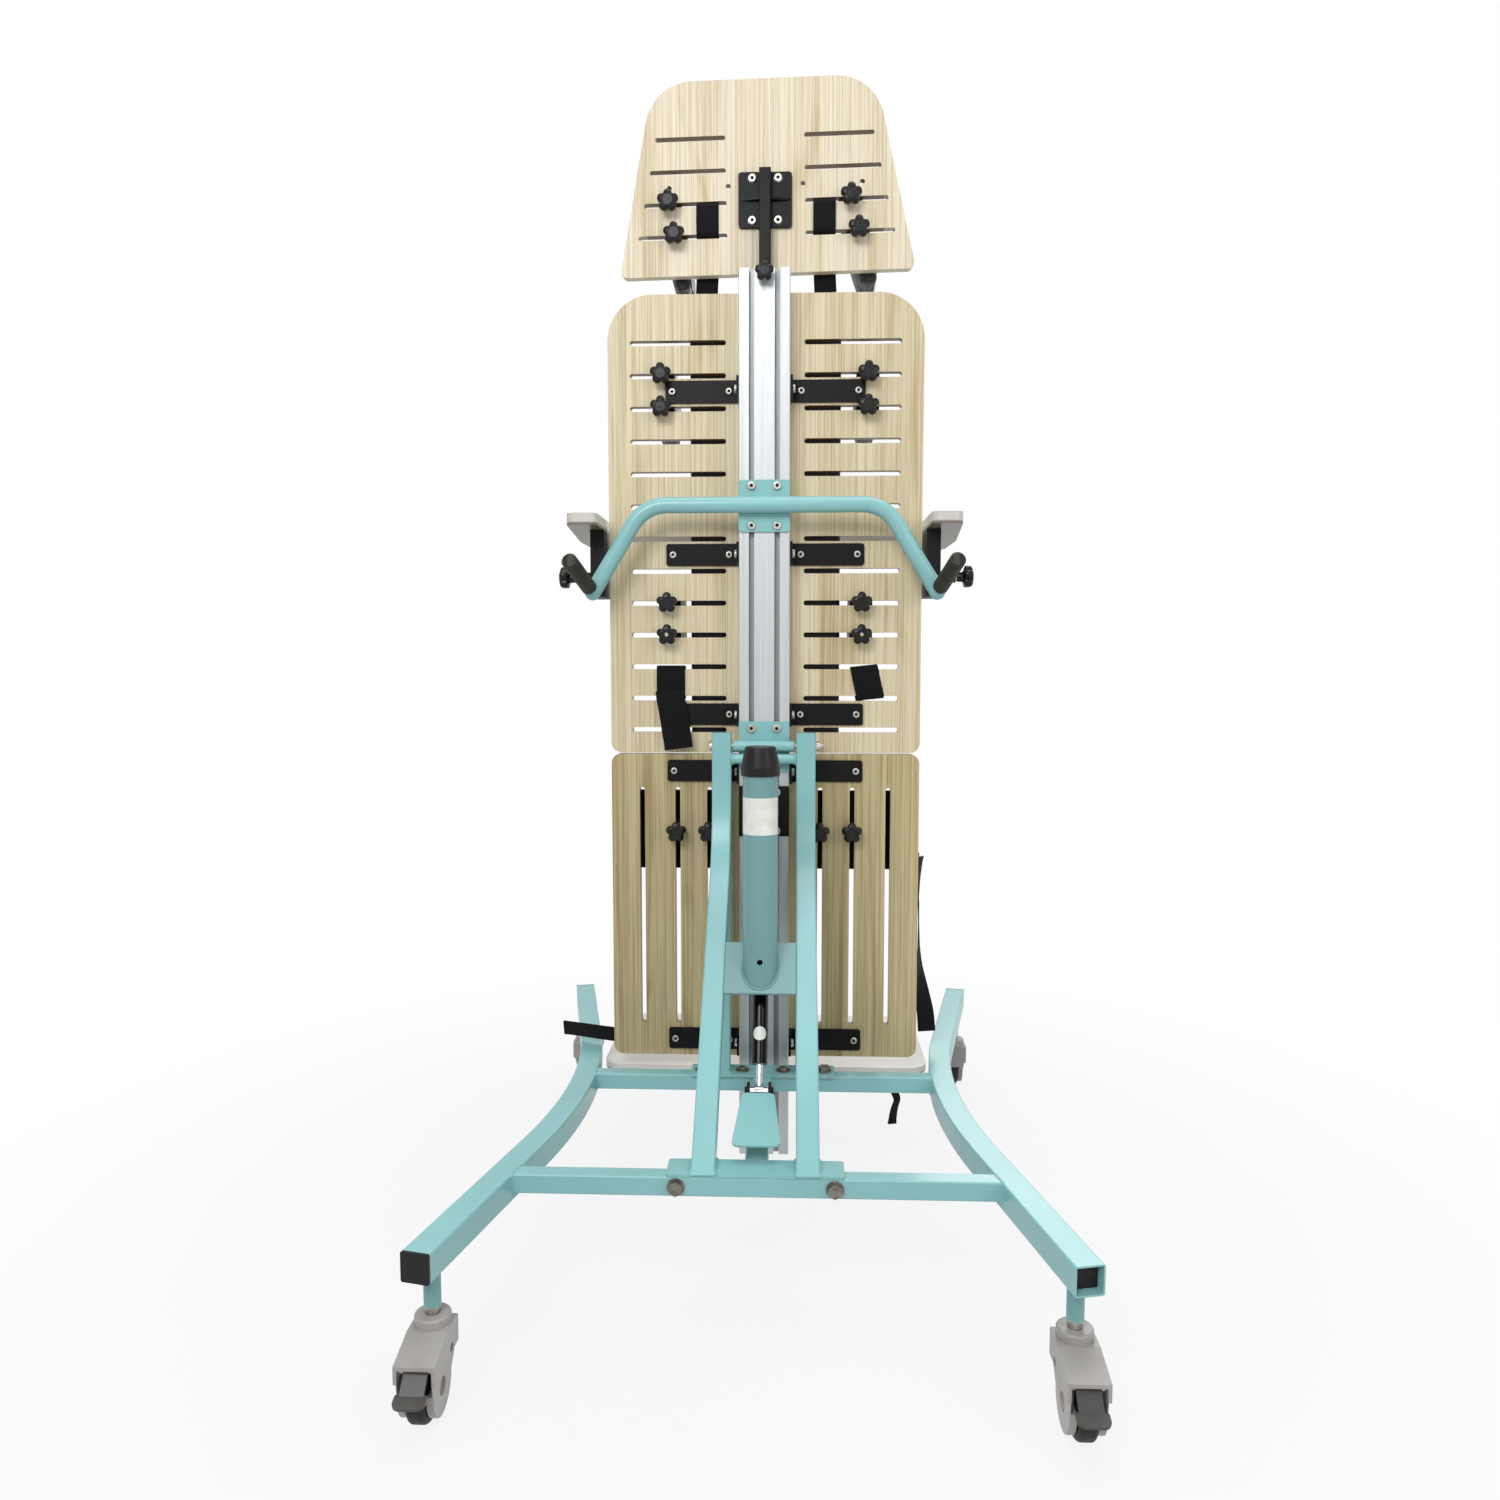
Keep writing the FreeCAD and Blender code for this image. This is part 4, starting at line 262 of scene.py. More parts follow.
def make_oak(name, seed, core_half, core_low, core_high, light="E3D3AE", dark="B89E72"):
    """Veneered board with vertical grain and a darker core inside its slots."""
    material, g, shader, normal = finish(name, 0.0006, Roughness=0.42, Specular_IOR_Level=0.35)
    wood = use(g, oak_veneer, {"Light": srgb(light), "Dark": srgb(dark), "Seed": seed})
    place = g.add("SeparateXYZ", {0: g.place()}).outputs
    facing = g.add("SeparateXYZ", {0: g.add("NewGeometry").outputs["True Normal"]}).outputs["Y"]
    side = g.math("LESS_THAN", g.math("ABSOLUTE", facing), 0.5)
    within = g.math("MULTIPLY", g.math("LESS_THAN", g.math("ABSOLUTE", place["X"]), core_half),
                    g.math("MULTIPLY", g.math("GREATER_THAN", place["Z"], core_low),
                           g.math("LESS_THAN", place["Z"], core_high)))
    core = g.math("MULTIPLY", side, within)
    edge = g.math("MULTIPLY", side, g.math("SUBTRACT", 1.0, within))
    colour = g.blend(core, wood["Color"], srgb("8F7650"))
    colour = g.blend(g.math("MULTIPLY", edge, 0.55), colour, srgb("D2CBB8"))
    mask = use(g, worn_edges, {"Width": 0.001, "Amount": 0.35})["Mask"]
    colour = g.blend(mask, colour, srgb("C9BFA6"))
    g.feed(shader.inputs["Base Color"], colour)
    g.feed(shader.inputs["Roughness"], g.fade(wood["Height"], 0.2, 1.0, 0.55, 0.38))
    relief(g, shader, wood["Height"], 0.00012, 0.6, normal)
    return material


def make_aluminium(name):
    material, g, shader, normal = finish(name, 0.0005, Metallic=0.55, Roughness=0.4)
    lines = use(g, drawn_lines)["Value"]
    tone = g.blend(g.fade(lines, 0.3, 0.7), srgb("CDD0D1"), srgb("BABDBF"))
    place = g.add("SeparateXYZ", {0: g.place()}).outputs
    # Deep inside the spine's slots the tone goes darker: painted shade in the recesses.
    depth = g.fade(place["Y"], 0.1056, 0.1085)
    front = g.math("LESS_THAN", place["Y"], 0.125)
    slot_shade = g.math("MULTIPLY", g.math("MULTIPLY", depth, front),
                    g.math("LESS_THAN", g.math("ABSOLUTE", place["X"]), 0.0385))
    tone = g.blend(g.math("MULTIPLY", slot_shade, 0.55), tone, srgb("6E7073"))
    mask = use(g, worn_edges, {"Width": 0.0008, "Amount": 0.6})["Mask"]
    g.feed(shader.inputs["Base Color"], g.blend(mask, tone, srgb("E8E9EA")))
    g.feed(shader.inputs["Roughness"], g.fade(lines, 0.25, 0.75, 0.34, 0.5))
    relief(g, shader, lines, 0.00006, 0.5, normal)
    return material


def make_metal(name, colour, dull, roughness, lines=0.00003):
    material, g, shader, normal = finish(name, 0.0004, Metallic=0.9, Roughness=roughness)
    base = use(g, colour_drift, {"Color": srgb(colour), "Drift to": srgb(dull), "Scale": 90.0})["Color"]
    mask = use(g, worn_edges, {"Width": 0.0006, "Amount": 0.7})["Mask"]
    g.feed(shader.inputs["Base Color"], g.blend(mask, base, srgb("F0F0EE")))
    smudge = g.noise(g.place(), 140.0, 4.0)
    g.feed(shader.inputs["Roughness"], g.fade(smudge, 0.3, 0.7, roughness, roughness + 0.16))
    relief(g, shader, use(g, fine_relief, {"Scale": 1800.0})["Height"], lines, 0.5, normal)
    return material


def make_plastic(name, colour, drift, roughness, grain=0.00005, specular=0.4, dust=0.2, edge_radius=0.0007):
    material, g, shader, normal = finish(name, edge_radius, Roughness=roughness, Specular_IOR_Level=specular)
    base = use(g, colour_drift, {"Color": srgb(colour), "Drift to": srgb(drift), "Scale": 14.0})["Color"]
    grime = use(g, settled_dust, {"Amount": dust})["Mask"]
    g.feed(shader.inputs["Base Color"], g.blend(grime, base, srgb("9C978E")))
    g.feed(shader.inputs["Roughness"], g.math("ADD", g.math("MULTIPLY", grime, 0.3), roughness))
    relief(g, shader, use(g, fine_relief, {"Scale": 1500.0})["Height"], grain, 0.6, normal)
    return material


def make_vinyl(name):
    material, g, shader, normal = finish(name, Roughness=0.46, Specular_IOR_Level=0.4)
    shader.inputs["Sheen Weight"].default_value = 0.08
    shader.inputs["Sheen Roughness"].default_value = 0.4
    base = use(g, colour_drift, {"Color": srgb("232529"), "Drift to": srgb("1A1B1F"), "Scale": 9.0})["Color"]
    height = use(g, pebbled_vinyl, {"Scale": 850.0})["Height"]
    # The hollows between the pebbles are coloured darker: painted shade in the grain.
    base = g.blend(g.fade(height, 0.2, 0.9), srgb("111215"), base)
    grime = use(g, settled_dust, {"Amount": 0.12})["Mask"]
    g.feed(shader.inputs["Base Color"], g.blend(grime, base, srgb("6B6862")))
    g.feed(shader.inputs["Roughness"], g.fade(height, 0.2, 0.9, 0.6, 0.42))
    relief(g, shader, height, 0.00025, 0.55)
    return material


def make_webbing(name, valley="050506", ridge="141518"):
    material, g, shader, normal = finish(name, Roughness=0.78, Specular_IOR_Level=0.12)
    shader.inputs["Sheen Weight"].default_value = 0.06
    shader.inputs["Sheen Roughness"].default_value = 0.5
    # The valley and ridge colours are painted shade across the weave, not two dyes.
    weave = use(g, woven_webbing, {"Pitch": 0.0016, "Valley": srgb(valley), "Ridge": srgb(ridge)})
    fuzz = use(g, settled_dust, {"Amount": 0.08})["Mask"]
    g.feed(shader.inputs["Base Color"], g.blend(fuzz, weave["Color"], srgb("4A4946")))
    g.feed(shader.inputs["Roughness"], g.fade(weave["Height"], 0.0, 1.0, 0.9, 0.68))
    relief(g, shader, weave["Height"], 0.00035, 0.8)
    return material


def make_laminate(name, face, drift, edge, core_low, core_high):
    """Flat laminate above and below and a banded edge between two heights."""
    material, g, shader, normal = finish(name, 0.0008, Roughness=0.4, Specular_IOR_Level=0.4)
    base = use(g, colour_drift, {"Color": srgb(face), "Drift to": srgb(drift), "Scale": 7.0})["Color"]
    up = g.add("SeparateXYZ", {0: g.add("NewGeometry").outputs["True Normal"]}).outputs["Z"]
    side = g.math("LESS_THAN", g.math("ABSOLUTE", up), 0.5)
    below = g.math("LESS_THAN", up, -0.5)
    z = g.add("SeparateXYZ", {0: g.place()}).outputs["Z"]
    band = g.fade(z, core_low, core_high)
    rim = g.blend(band, srgb(edge), srgb(face))
    colour = g.blend(side, base, rim)
    colour = g.blend(below, colour, srgb(edge))
    scuffs = g.fade(g.noise(g.place((60, 60, 60)), 1.0, 6.0, 0.7), 0.62, 0.8)
    colour = g.blend(g.math("MULTIPLY", scuffs, 0.25), colour, srgb("8E8981"))
    g.feed(shader.inputs["Base Color"], colour)
    g.feed(shader.inputs["Roughness"], g.math("ADD", g.math("MULTIPLY", scuffs, 0.25), 0.36))
    relief(g, shader, use(g, fine_relief, {"Scale": 900.0})["Height"], 0.00003, 0.5, normal)
    return material


def make_tread(name):
    material, g, shader, normal = finish(name, 0.0006, Roughness=0.62, Specular_IOR_Level=0.35)
    base = use(g, colour_drift, {"Color": srgb("16120F"), "Drift to": srgb("0E0B09"), "Scale": 40.0})["Color"]
    scuff = g.fade(g.noise(g.place(), 220.0, 5.0, 0.7), 0.5, 0.75)
    g.feed(shader.inputs["Base Color"], g.blend(g.math("MULTIPLY", scuff, 0.4), base, srgb("4B433C")))
    g.feed(shader.inputs["Roughness"], g.fade(scuff, 0.0, 1.0, 0.55, 0.8))
    relief(g, shader, use(g, fine_relief, {"Scale": 700.0})["Height"], 0.00012, 0.6, normal)
    return material


def make_grip(name):
    """Ribbed rubber: fine rings along the grip's own direction."""
    material, g, shader, normal = finish(name, Roughness=0.7, Specular_IOR_Level=0.3)
    place = g.add("SeparateXYZ", {0: g.place()}).outputs
    rings = g.math("SINE", g.math("MULTIPLY", g.math("SUBTRACT", place["Y"], g.math("MULTIPLY", place["Z"], 0.44)),
                                  2100.0))
    base = use(g, colour_drift, {"Color": srgb("44443D"), "Drift to": srgb("36362F"), "Scale": 60.0})["Color"]
    # The troughs between the ribs are coloured darker: painted shade in the grooves.
    g.feed(shader.inputs["Base Color"], g.blend(g.fade(rings, -1.0, 0.2), srgb("25251F"), base))
    g.feed(shader.inputs["Roughness"], g.fade(rings, -1.0, 1.0, 0.85, 0.62))
    relief(g, shader, rings, 0.0003, 0.5)
    return material


def make_paper(name):
    material, g, shader, normal = finish(name, Roughness=0.35, Specular_IOR_Level=0.4)
    tone = use(g, colour_drift, {"Color": srgb("F1F1EC"), "Drift to": srgb("E4E3DB"), "Scale": 60.0})["Color"]
    g.feed(shader.inputs["Base Color"], tone)
    g.feed(shader.inputs["Roughness"], g.fade(g.noise(g.place(), 300.0, 3.0), 0.3, 0.7, 0.3, 0.5))
    relief(g, shader, use(g, fine_relief, {"Scale": 400.0})["Height"], 0.00008, 0.4)
    return material


def make_stem(name):
    """Painted stem above, zinc nut below."""
    material, g, shader, normal = finish(name, 0.0008, Roughness=0.35)
    z = g.add("SeparateXYZ", {0: g.place()}).outputs["Z"]
    painted_part = g.math("GREATER_THAN", z, 0.1123)
    paint = use(g, colour_drift, {"Color": srgb("7FB2B3"), "Drift to": srgb("73A4A5"), "Scale": 30.0})["Color"]
    zinc = use(g, colour_drift, {"Color": srgb("BDBBB4"), "Drift to": srgb("97948B"), "Scale": 120.0})["Color"]
    g.feed(shader.inputs["Base Color"], g.blend(painted_part, zinc, paint))
    g.feed(shader.inputs["Metallic"], g.math("SUBTRACT", 0.9, g.math("MULTIPLY", painted_part, 0.9)))
    g.feed(shader.inputs["Roughness"], g.fade(g.noise(g.place(), 200.0, 3.0), 0.3, 0.7, 0.3, 0.42))
    relief(g, shader, use(g, fine_relief, {"Scale": 800.0})["Height"], 0.00004, 0.5, normal)
    return material


teal_paint = painted("teal_powder_coat", "8FC6C8", "88BEC0", "AAD3D4", 0.27, 420.0, 0.00005, 0.01, 0.0)
# The stop post and its weld get a darker copy of the same teal paint: painted shade, not a different coat.
shaded_teal_post = painted("teal_powder_coat_post_painted_shade", "76A3A4", "6E9B9C", "9CC3C4", 0.25, 420.0, 0.00005, 0.01, 0.0)
black_coat = painted("black_powder_coat", "0A0B0D", "070809", "2A2B2E", 0.42, 1400.0, 0.00006, 0.02, 0.3, 0.18)
black_gloss = painted("black_gloss_paint", "070709", "050506", "232427", 0.14, 900.0, 0.00002, 0.02, 0.3, 0.22)
aluminium = make_aluminium("anodised_aluminium")
zinc = make_metal("zinc_plated_steel", "C9C7C1", "A7A49C", 0.28)
dark_zinc = make_metal("dull_zinc_steel", "8E8A80", "6C6960", 0.36)
chrome = make_metal("chromed_rod", "DADADD", "C4C5C9", 0.08, 0.000006)
black_plastic = make_plastic("black_moulded_plastic", "0C0D0F", "08090A", 0.34, 0.00005, 0.32, 0.03)
cap_rubber = make_plastic("black_cap_rubber", "101113", "0B0C0E", 0.42, 0.00005, 0.3, 0.03, 0.0012)
caster_shell = make_plastic("grey_caster_plastic", "ABA7A5", "9E9A97", 0.34, 0.00005, 0.5, 0.08)
brake_shell = make_plastic("dark_grey_brake_plastic", "4A4846", "3D3B3A", 0.36, 0.00006, 0.4, 0.08)
bracket_plastic = make_plastic("black_bracket_plastic", "0E0F11", "0A0B0C", 0.5, 0.00009, 0.22, 0.04)
tread_rubber = make_tread("wheel_tread")
grip_rubber = make_grip("ribbed_grip_rubber")
vinyl = make_vinyl("black_upholstery_vinyl")
webbing = make_webbing("black_webbing")
oak_head = make_oak("oak_veneer_head", 1.7, 0.185, 1.46, 1.70, "EDE4CE", "C3AE84")
oak_trunk = make_oak("oak_veneer_trunk", 5.2, 0.225, 0.70, 1.36, "E3D8B8", "B7A175")
oak_leg = make_oak("oak_veneer_leg", 9.4, 0.215, 0.205, 0.66, "CDBE93", "98825A")
tray_laminate = make_laminate("tray_laminate", "D2CDC7", "C7C1BA", "7A7166", 1.0425, 1.0455)
footplate_laminate = make_laminate("footplate_laminate", "E6E2DC", "DBD6CE", "A39B91", 0.1462, 0.1475)
stem_finish = make_stem("caster_stem")
label_paper = make_paper("plain_label")

node_finish = {
    "left_leg": teal_paint, "right_leg": teal_paint, "crossbars": teal_paint, "centre_tube": teal_paint,
    "rear_base_plate": teal_paint, "left_upright": teal_paint, "right_upright": teal_paint,
    "front_braces": teal_paint, "pivot_cross_tube": teal_paint, "stop_post": shaded_teal_post, "handle_bar": teal_paint,
    "pivot_block": teal_paint, "foot_pedal": teal_paint, "pedal_bracket": black_coat, "spring_bracket": black_coat,
    "leg_end_caps": black_plastic, "base_bolts": dark_zinc, "pivot_bolt": zinc, "frame_screws": zinc,
    "stop_cap": cap_rubber, "caster_stems": stem_finish, "spine": aluminium, "handle_grips": grip_rubber,
    "head_board": oak_head, "trunk_board": oak_trunk, "leg_board": oak_leg, "board_brackets": black_coat,
    "head_post": black_coat, "tray_top": tray_laminate, "tray_brackets": bracket_plastic,
    "footplate": footplate_laminate, "footplate_carriage": black_coat, "gas_spring_cylinder": black_gloss,
    "gas_spring_rod": chrome,
}
for end in ("front", "rear"):
    for side in ("left", "right"):
        node_finish[f"{end}_{side}_fork"] = caster_shell
        node_finish[f"{end}_{side}_wheel"] = tread_rubber
        node_finish[f"{end}_{side}_brake"] = brake_shell
for name, material in node_finish.items():
    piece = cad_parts[name]
    if not piece.material_slots:
        piece.data.materials.append(material)
    for slot in piece.material_slots:
        slot.material = material


# Making pieces

def keep(mesh, name, material, body, replaced=()):
    """Puts a mesh into the scene as a piece that rides on a body."""
    piece = bpy.data.objects.new(name, mesh)
    scene.collection.objects.link(piece)
    if material is not None:
        mesh.materials.append(material)
    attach(piece, body)
    if replaced:
        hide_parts(*replaced)
    return piece


def mesh_of(name, vertices, faces, sharp_degrees=40.0):
    mesh = bpy.data.meshes.new(name)
    mesh.from_pydata([tuple(v) for v in vertices], [], faces)
    bm = bmesh.new()
    bm.from_mesh(mesh)
    bmesh.ops.recalc_face_normals(bm, faces=bm.faces)
    shade(bm, sharp_degrees)
    bm.to_mesh(mesh)
    bm.free()
    return mesh


def shade(bm, sharp_degrees):
    limit = math.radians(sharp_degrees)
    for face in bm.faces:
        face.smooth = True
    for edge in bm.edges:
        edge.smooth = len(edge.link_faces) == 2 and edge.calc_face_angle(0.0) < limit


def turned(name, seat, out, rings, lobes=0, steps=60):
    """A turned or moulded form about a line: each ring is (height, radius, lobe depth as a share of the radius)."""
    out = Vector(out).normalized()
    side = out.orthogonal().normalized() if abs(out.z) > 0.9 else out.cross(Vector((0, 0, 1))).normalized()
    other = out.cross(side)
    vertices = []
    faces = []
    for height, radius, depth in rings:
        for k in range(steps):
            angle = 2 * math.pi * k / steps
            crest = math.sqrt(math.cos(lobes * angle / 2) ** 2 + 0.01) / 1.005
            r = radius * (1 - depth * max(0.0, 1 - crest) ** 1.25) if lobes else radius
            vertices.append(Vector(seat) + out * height + side * (r * math.sin(angle)) - other * (r * math.cos(angle)))
    for row in range(len(rings) - 1):
        for k in range(steps):
            a = row * steps + k
            b = row * steps + (k + 1) % steps
            faces.append((a, b, b + steps, a + steps))
    faces.append(tuple(range(steps - 1, -1, -1)))
    faces.append(tuple((len(rings) - 1) * steps + k for k in range(steps)))
    return mesh_of(name, vertices, faces, 35.0)


def resample(points, step, closed=False):
    """Points along a smooth curve through the given ones, about a step apart."""
    count = len(points)
    out = []
    spans = count if closed else count - 1
    for k in range(spans):
        p0 = points[(k - 1) % count] if closed or k > 0 else points[0] * 2 - points[1]
        p1 = points[k]
        p2 = points[(k + 1) % count]
        p3 = points[(k + 2) % count] if closed or k + 2 < count else points[-1] * 2 - points[-2]
        parts = max(1, int(round((p2 - p1).length / step)))
        for j in range(parts):
            t = j / parts
            a = 2 * p1
            b = p2 - p0
            c = 2 * p0 - 5 * p1 + 4 * p2 - p3
            d = 3 * p1 - p0 - 3 * p2 + p3
            out.append((a + b * t + c * t * t + d * t * t * t) * 0.5)
    if not closed:
        out.append(points[-1].copy())
    return out


def tube(name, path, radius, closed=False, ripple=0.0, sides=8):
    """A round bead along a path; ripple is the share by which its radius comes and goes."""
    vertices = []
    faces = []
    count = len(path)
    across = None
    for k, point in enumerate(path):
        ahead = path[(k + 1) % count] if closed or k + 1 < count else point
        behind = path[k - 1] if closed or k > 0 else point
        along = (ahead - behind).normalized()
        if across is None:
            across = along.orthogonal().normalized()
        across = (across - along * across.dot(along)).normalized()
        other = along.cross(across)
        r = radius * (1 + ripple * (abs(math.sin(k * 1.3)) - 0.5) + ripple * 0.6 * noise.noise(point * 400))
        for j in range(sides):
            angle = 2 * math.pi * j / sides
            vertices.append(point + across * (r * math.cos(angle)) + other * (r * math.sin(angle)))
    rows = count if closed else count - 1
    for k in range(rows):
        for j in range(sides):
            a = k * sides + j
            b = k * sides + (j + 1) % sides
            c = ((k + 1) % count) * sides + (j + 1) % sides
            d = ((k + 1) % count) * sides + j
            faces.append((a, b, c, d))
    if not closed:
        faces.append(tuple(range(sides - 1, -1, -1)))
        faces.append(tuple((count - 1) * sides + j for j in range(sides)))
    return mesh_of(name, vertices, faces, 60.0)


def band(name, points, across, width, thickness, hem=0.0):
    """Flat webbing along a path; across gives its width's direction at each point, and hem doubles the end."""
    step = 0.003
    path = resample([Vector(p) for p in points], step)
    total = len(path)
    vertices = []
    faces = []
    coordinates = []
    half = width / 2
    section = [(-1, 0), (-0.97, -0.42), (-0.93, -0.5), (-0.5, -0.5), (0, -0.5), (0.5, -0.5), (0.93, -0.5),
               (0.97, -0.42), (1, 0), (0.97, 0.42), (0.93, 0.5), (0.5, 0.5), (0, 0.5), (-0.5, 0.5), (-0.93, 0.5),
               (-0.97, 0.42)]
    around = len(section)
    length = 0.0
    for k, point in enumerate(path):
        share = k / max(1, total - 1) * (len(across) - 1)
        low = min(int(share), len(across) - 2)
        side = Vector(across[low]).lerp(Vector(across[low + 1]), share - low)
        ahead = path[min(k + 1, total - 1)]
        behind = path[max(k - 1, 0)]
        along = (ahead - behind).normalized()
        side = (side - along * side.dot(along)).normalized()
        face = along.cross(side)
        if k:
            length += (point - path[k - 1]).length
        left = (total - 1 - k) * step
        thick = thickness * (1.9 if left < hem else 1.0)
        for u, v in section:
            wave = 1 + 0.006 * noise.noise(Vector((length * 90, u, 0.3)))
            vertices.append(point + side * (u * half * wave) + face * (v * thick))
            coordinates.append((u * half + half, length))
    for k in range(total - 1):
        for j in range(around):
            a = k * around + j
            b = k * around + (j + 1) % around
            faces.append((a, b, b + around, a + around))
    faces.append(tuple(range(around - 1, -1, -1)))
    faces.append(tuple((total - 1) * around + j for j in range(around)))
    mesh = mesh_of(name, vertices, faces, 50.0)
    layer = mesh.uv_layers.new(name="weave")
    for loop in mesh.loops:
        layer.data[loop.index].uv = coordinates[loop.vertex_index]
    return mesh


def solids_of(node):
    """The separate solids of a CAD node, each as a new bmesh, the largest box first."""
    whole = bmesh.new()
    whole.from_mesh(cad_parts[node].data)
    bmesh.ops.remove_doubles(whole, verts=whole.verts, dist=1e-6)
    left = set(whole.verts)
    found = []
    while left:
        seed = left.pop()
        group = {seed}
        queue = [seed]
        while queue:
            vertex = queue.pop()
            for edge in vertex.link_edges:
                other = edge.other_vert(vertex)
                if other not in group:
                    group.add(other)
                    queue.append(other)
        left -= group
        part = bmesh.new()
        new = {vertex: part.verts.new(vertex.co) for vertex in group}
        for face in whole.faces:
            if face.verts[0] in group:
                part.faces.new([new[vertex] for vertex in face.verts])
        found.append(part)
    whole.free()

    def size(part):
        low, high = box_of(part)
        return -(high.x - low.x) * (high.y - low.y) * (high.z - low.z)
    return sorted(found, key=size)


def box_of(part):
    low = Vector([min(v.co[k] for v in part.verts) for k in range(3)])
    high = Vector([max(v.co[k] for v in part.verts) for k in range(3)])
    return low, high


def mesh_from(part, name, sharp_degrees=30.0):
    shade(part, sharp_degrees)
    mesh = bpy.data.meshes.new(name)
    part.to_mesh(mesh)
    return mesh


# Padded pieces

def stuffed(name, part, held, shrink, cap, voxel=0.005, pressure=4.0):
    """A padded form: remeshed, blown up as cloth against its own skin, and smoothed. held says which points stay."""
    mesh = mesh_from(part, name)
    piece = bpy.data.objects.new(name, mesh)
    scene.collection.objects.link(piece)
    remesh = piece.modifiers.new("remesh", "REMESH")
    remesh.mode = "VOXEL"
    remesh.voxel_size = voxel
    take_modifiers(piece)
    for vertex in piece.data.vertices:
        if not held(vertex.co):
            vertex.co -= vertex.normal * shrink
    rest = [vertex.co.copy() for vertex in piece.data.vertices]
    pins = piece.vertex_groups.new(name="held")
    pins.add([vertex.index for vertex in piece.data.vertices if held(vertex.co)], 1.0, "REPLACE")
    cloth = piece.modifiers.new("cloth", "CLOTH")
    cloth.settings.use_pressure = True
    cloth.settings.uniform_pressure_force = pressure
    cloth.settings.effector_weights.gravity = 0.0
    cloth.settings.vertex_group_mass = "held"
    cloth.settings.quality = 5
    cloth.point_cache.frame_start = 1
    cloth.point_cache.frame_end = 20
    for step in range(1, 21):
        scene.frame_set(step)
    blown = piece.evaluated_get(bpy.context.evaluated_depsgraph_get())
    moved = [vertex.co.copy() for vertex in blown.data.vertices]
    piece.modifiers.remove(cloth)
    for vertex, start, end in zip(piece.data.vertices, rest, moved):
        way = end - start
        if way.length > cap:
            way *= cap / way.length
        vertex.co = start + way
    scene.frame_set(1)
    smooth = piece.modifiers.new("smooth", "SMOOTH")
    smooth.factor = 0.5
    smooth.iterations = 6
    finer = piece.modifiers.new("finer", "SUBSURF")
    finer.levels = 1
    finer.render_levels = 1
    take_modifiers(piece)
    for polygon in piece.data.polygons:
        polygon.use_smooth = True
    return piece


def take_modifiers(piece):
    made = bpy.data.meshes.new_from_object(piece.evaluated_get(bpy.context.evaluated_depsgraph_get()))
    old = piece.data
    piece.modifiers.clear()
    piece.data = made
    made.name = piece.name
    bpy.data.meshes.remove(old)


def outline_at(piece, point, normal):
    """The closed line in which a plane cuts a piece, as ordered points."""
    cut = bmesh.new()
    cut.from_mesh(piece.data)
    found = bmesh.ops.bisect_plane(cut, geom=cut.verts[:] + cut.edges[:] + cut.faces[:], plane_co=point,
                                   plane_no=normal)
    edges = [item for item in found["geom_cut"] if isinstance(item, bmesh.types.BMEdge)]
    links = {}
    for edge in edges:
        a, b = edge.verts
        links.setdefault(a, []).append(b)
        links.setdefault(b, []).append(a)
    best = []
    seen = set()
    for start in links:
        if start in seen:
            continue
        line = [start]
        seen.add(start)
        here = start
        while True:
            onward = [v for v in links[here] if v not in seen]
            if not onward:
                break
            here = onward[0]
            seen.add(here)
            line.append(here)
        if len(line) > len(best):
            best = line
    points = [vertex.co.copy() for vertex in best]
    cut.free()
    return points


def even_loop(points, step):
    """A closed line with its points a step apart, slightly smoothed."""
    total = sum((points[k] - points[k - 1]).length for k in range(len(points)))
    count = max(12, int(total / step))
    out = []
    want = 0.0
    gone = 0.0
    k = 0
    while len(out) < count:
        a = points[k % len(points)]
        b = points[(k + 1) % len(points)]
        long = (b - a).length
        while long > 0 and want <= gone + long and len(out) < count:
            out.append(a.lerp(b, (want - gone) / long))
            want += total / count
        gone += long
        k += 1
        if k > 3 * len(points):
            break
    for _ in range(3):
        out = [(out[j - 1] + out[j] * 2 + out[(j + 1) % len(out)]) / 4 for j in range(len(out))]
    return out


def piping(name, piece, point, normal, radius, body):
    loop = even_loop(outline_at(piece, Vector(point), Vector(normal)), 0.004)
    mesh = tube(name, loop, radius, True, 0.05, 10)
    return keep(mesh, name, vinyl, body)


def dress_pad(piece, body, replaced):
    piece.data.materials.clear()
    piece.data.materials.append(vinyl)
    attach(piece, body)
    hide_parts(*replaced)


cushion_low, cushion_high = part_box("trunk_cushion")
cushion_back = cushion_low.y
cushion = stuffed("trunk_cushion_cover", solids_of("trunk_cushion")[0], lambda co: co.y < cushion_back + 0.003,
                  0.003, 0.006, 0.006)
dress_pad(cushion, "tilt_frame", ["trunk_cushion"])
piping("trunk_cushion_front_piping", cushion, (0, cushion_high.y - 0.019, 0), (0, 1, 0), 0.0021, "tilt_frame")
piping("trunk_cushion_back_piping", cushion, (0, cushion_back + 0.007, 0), (0, 1, 0), 0.0018, "tilt_frame")


# Star knobs and their washers

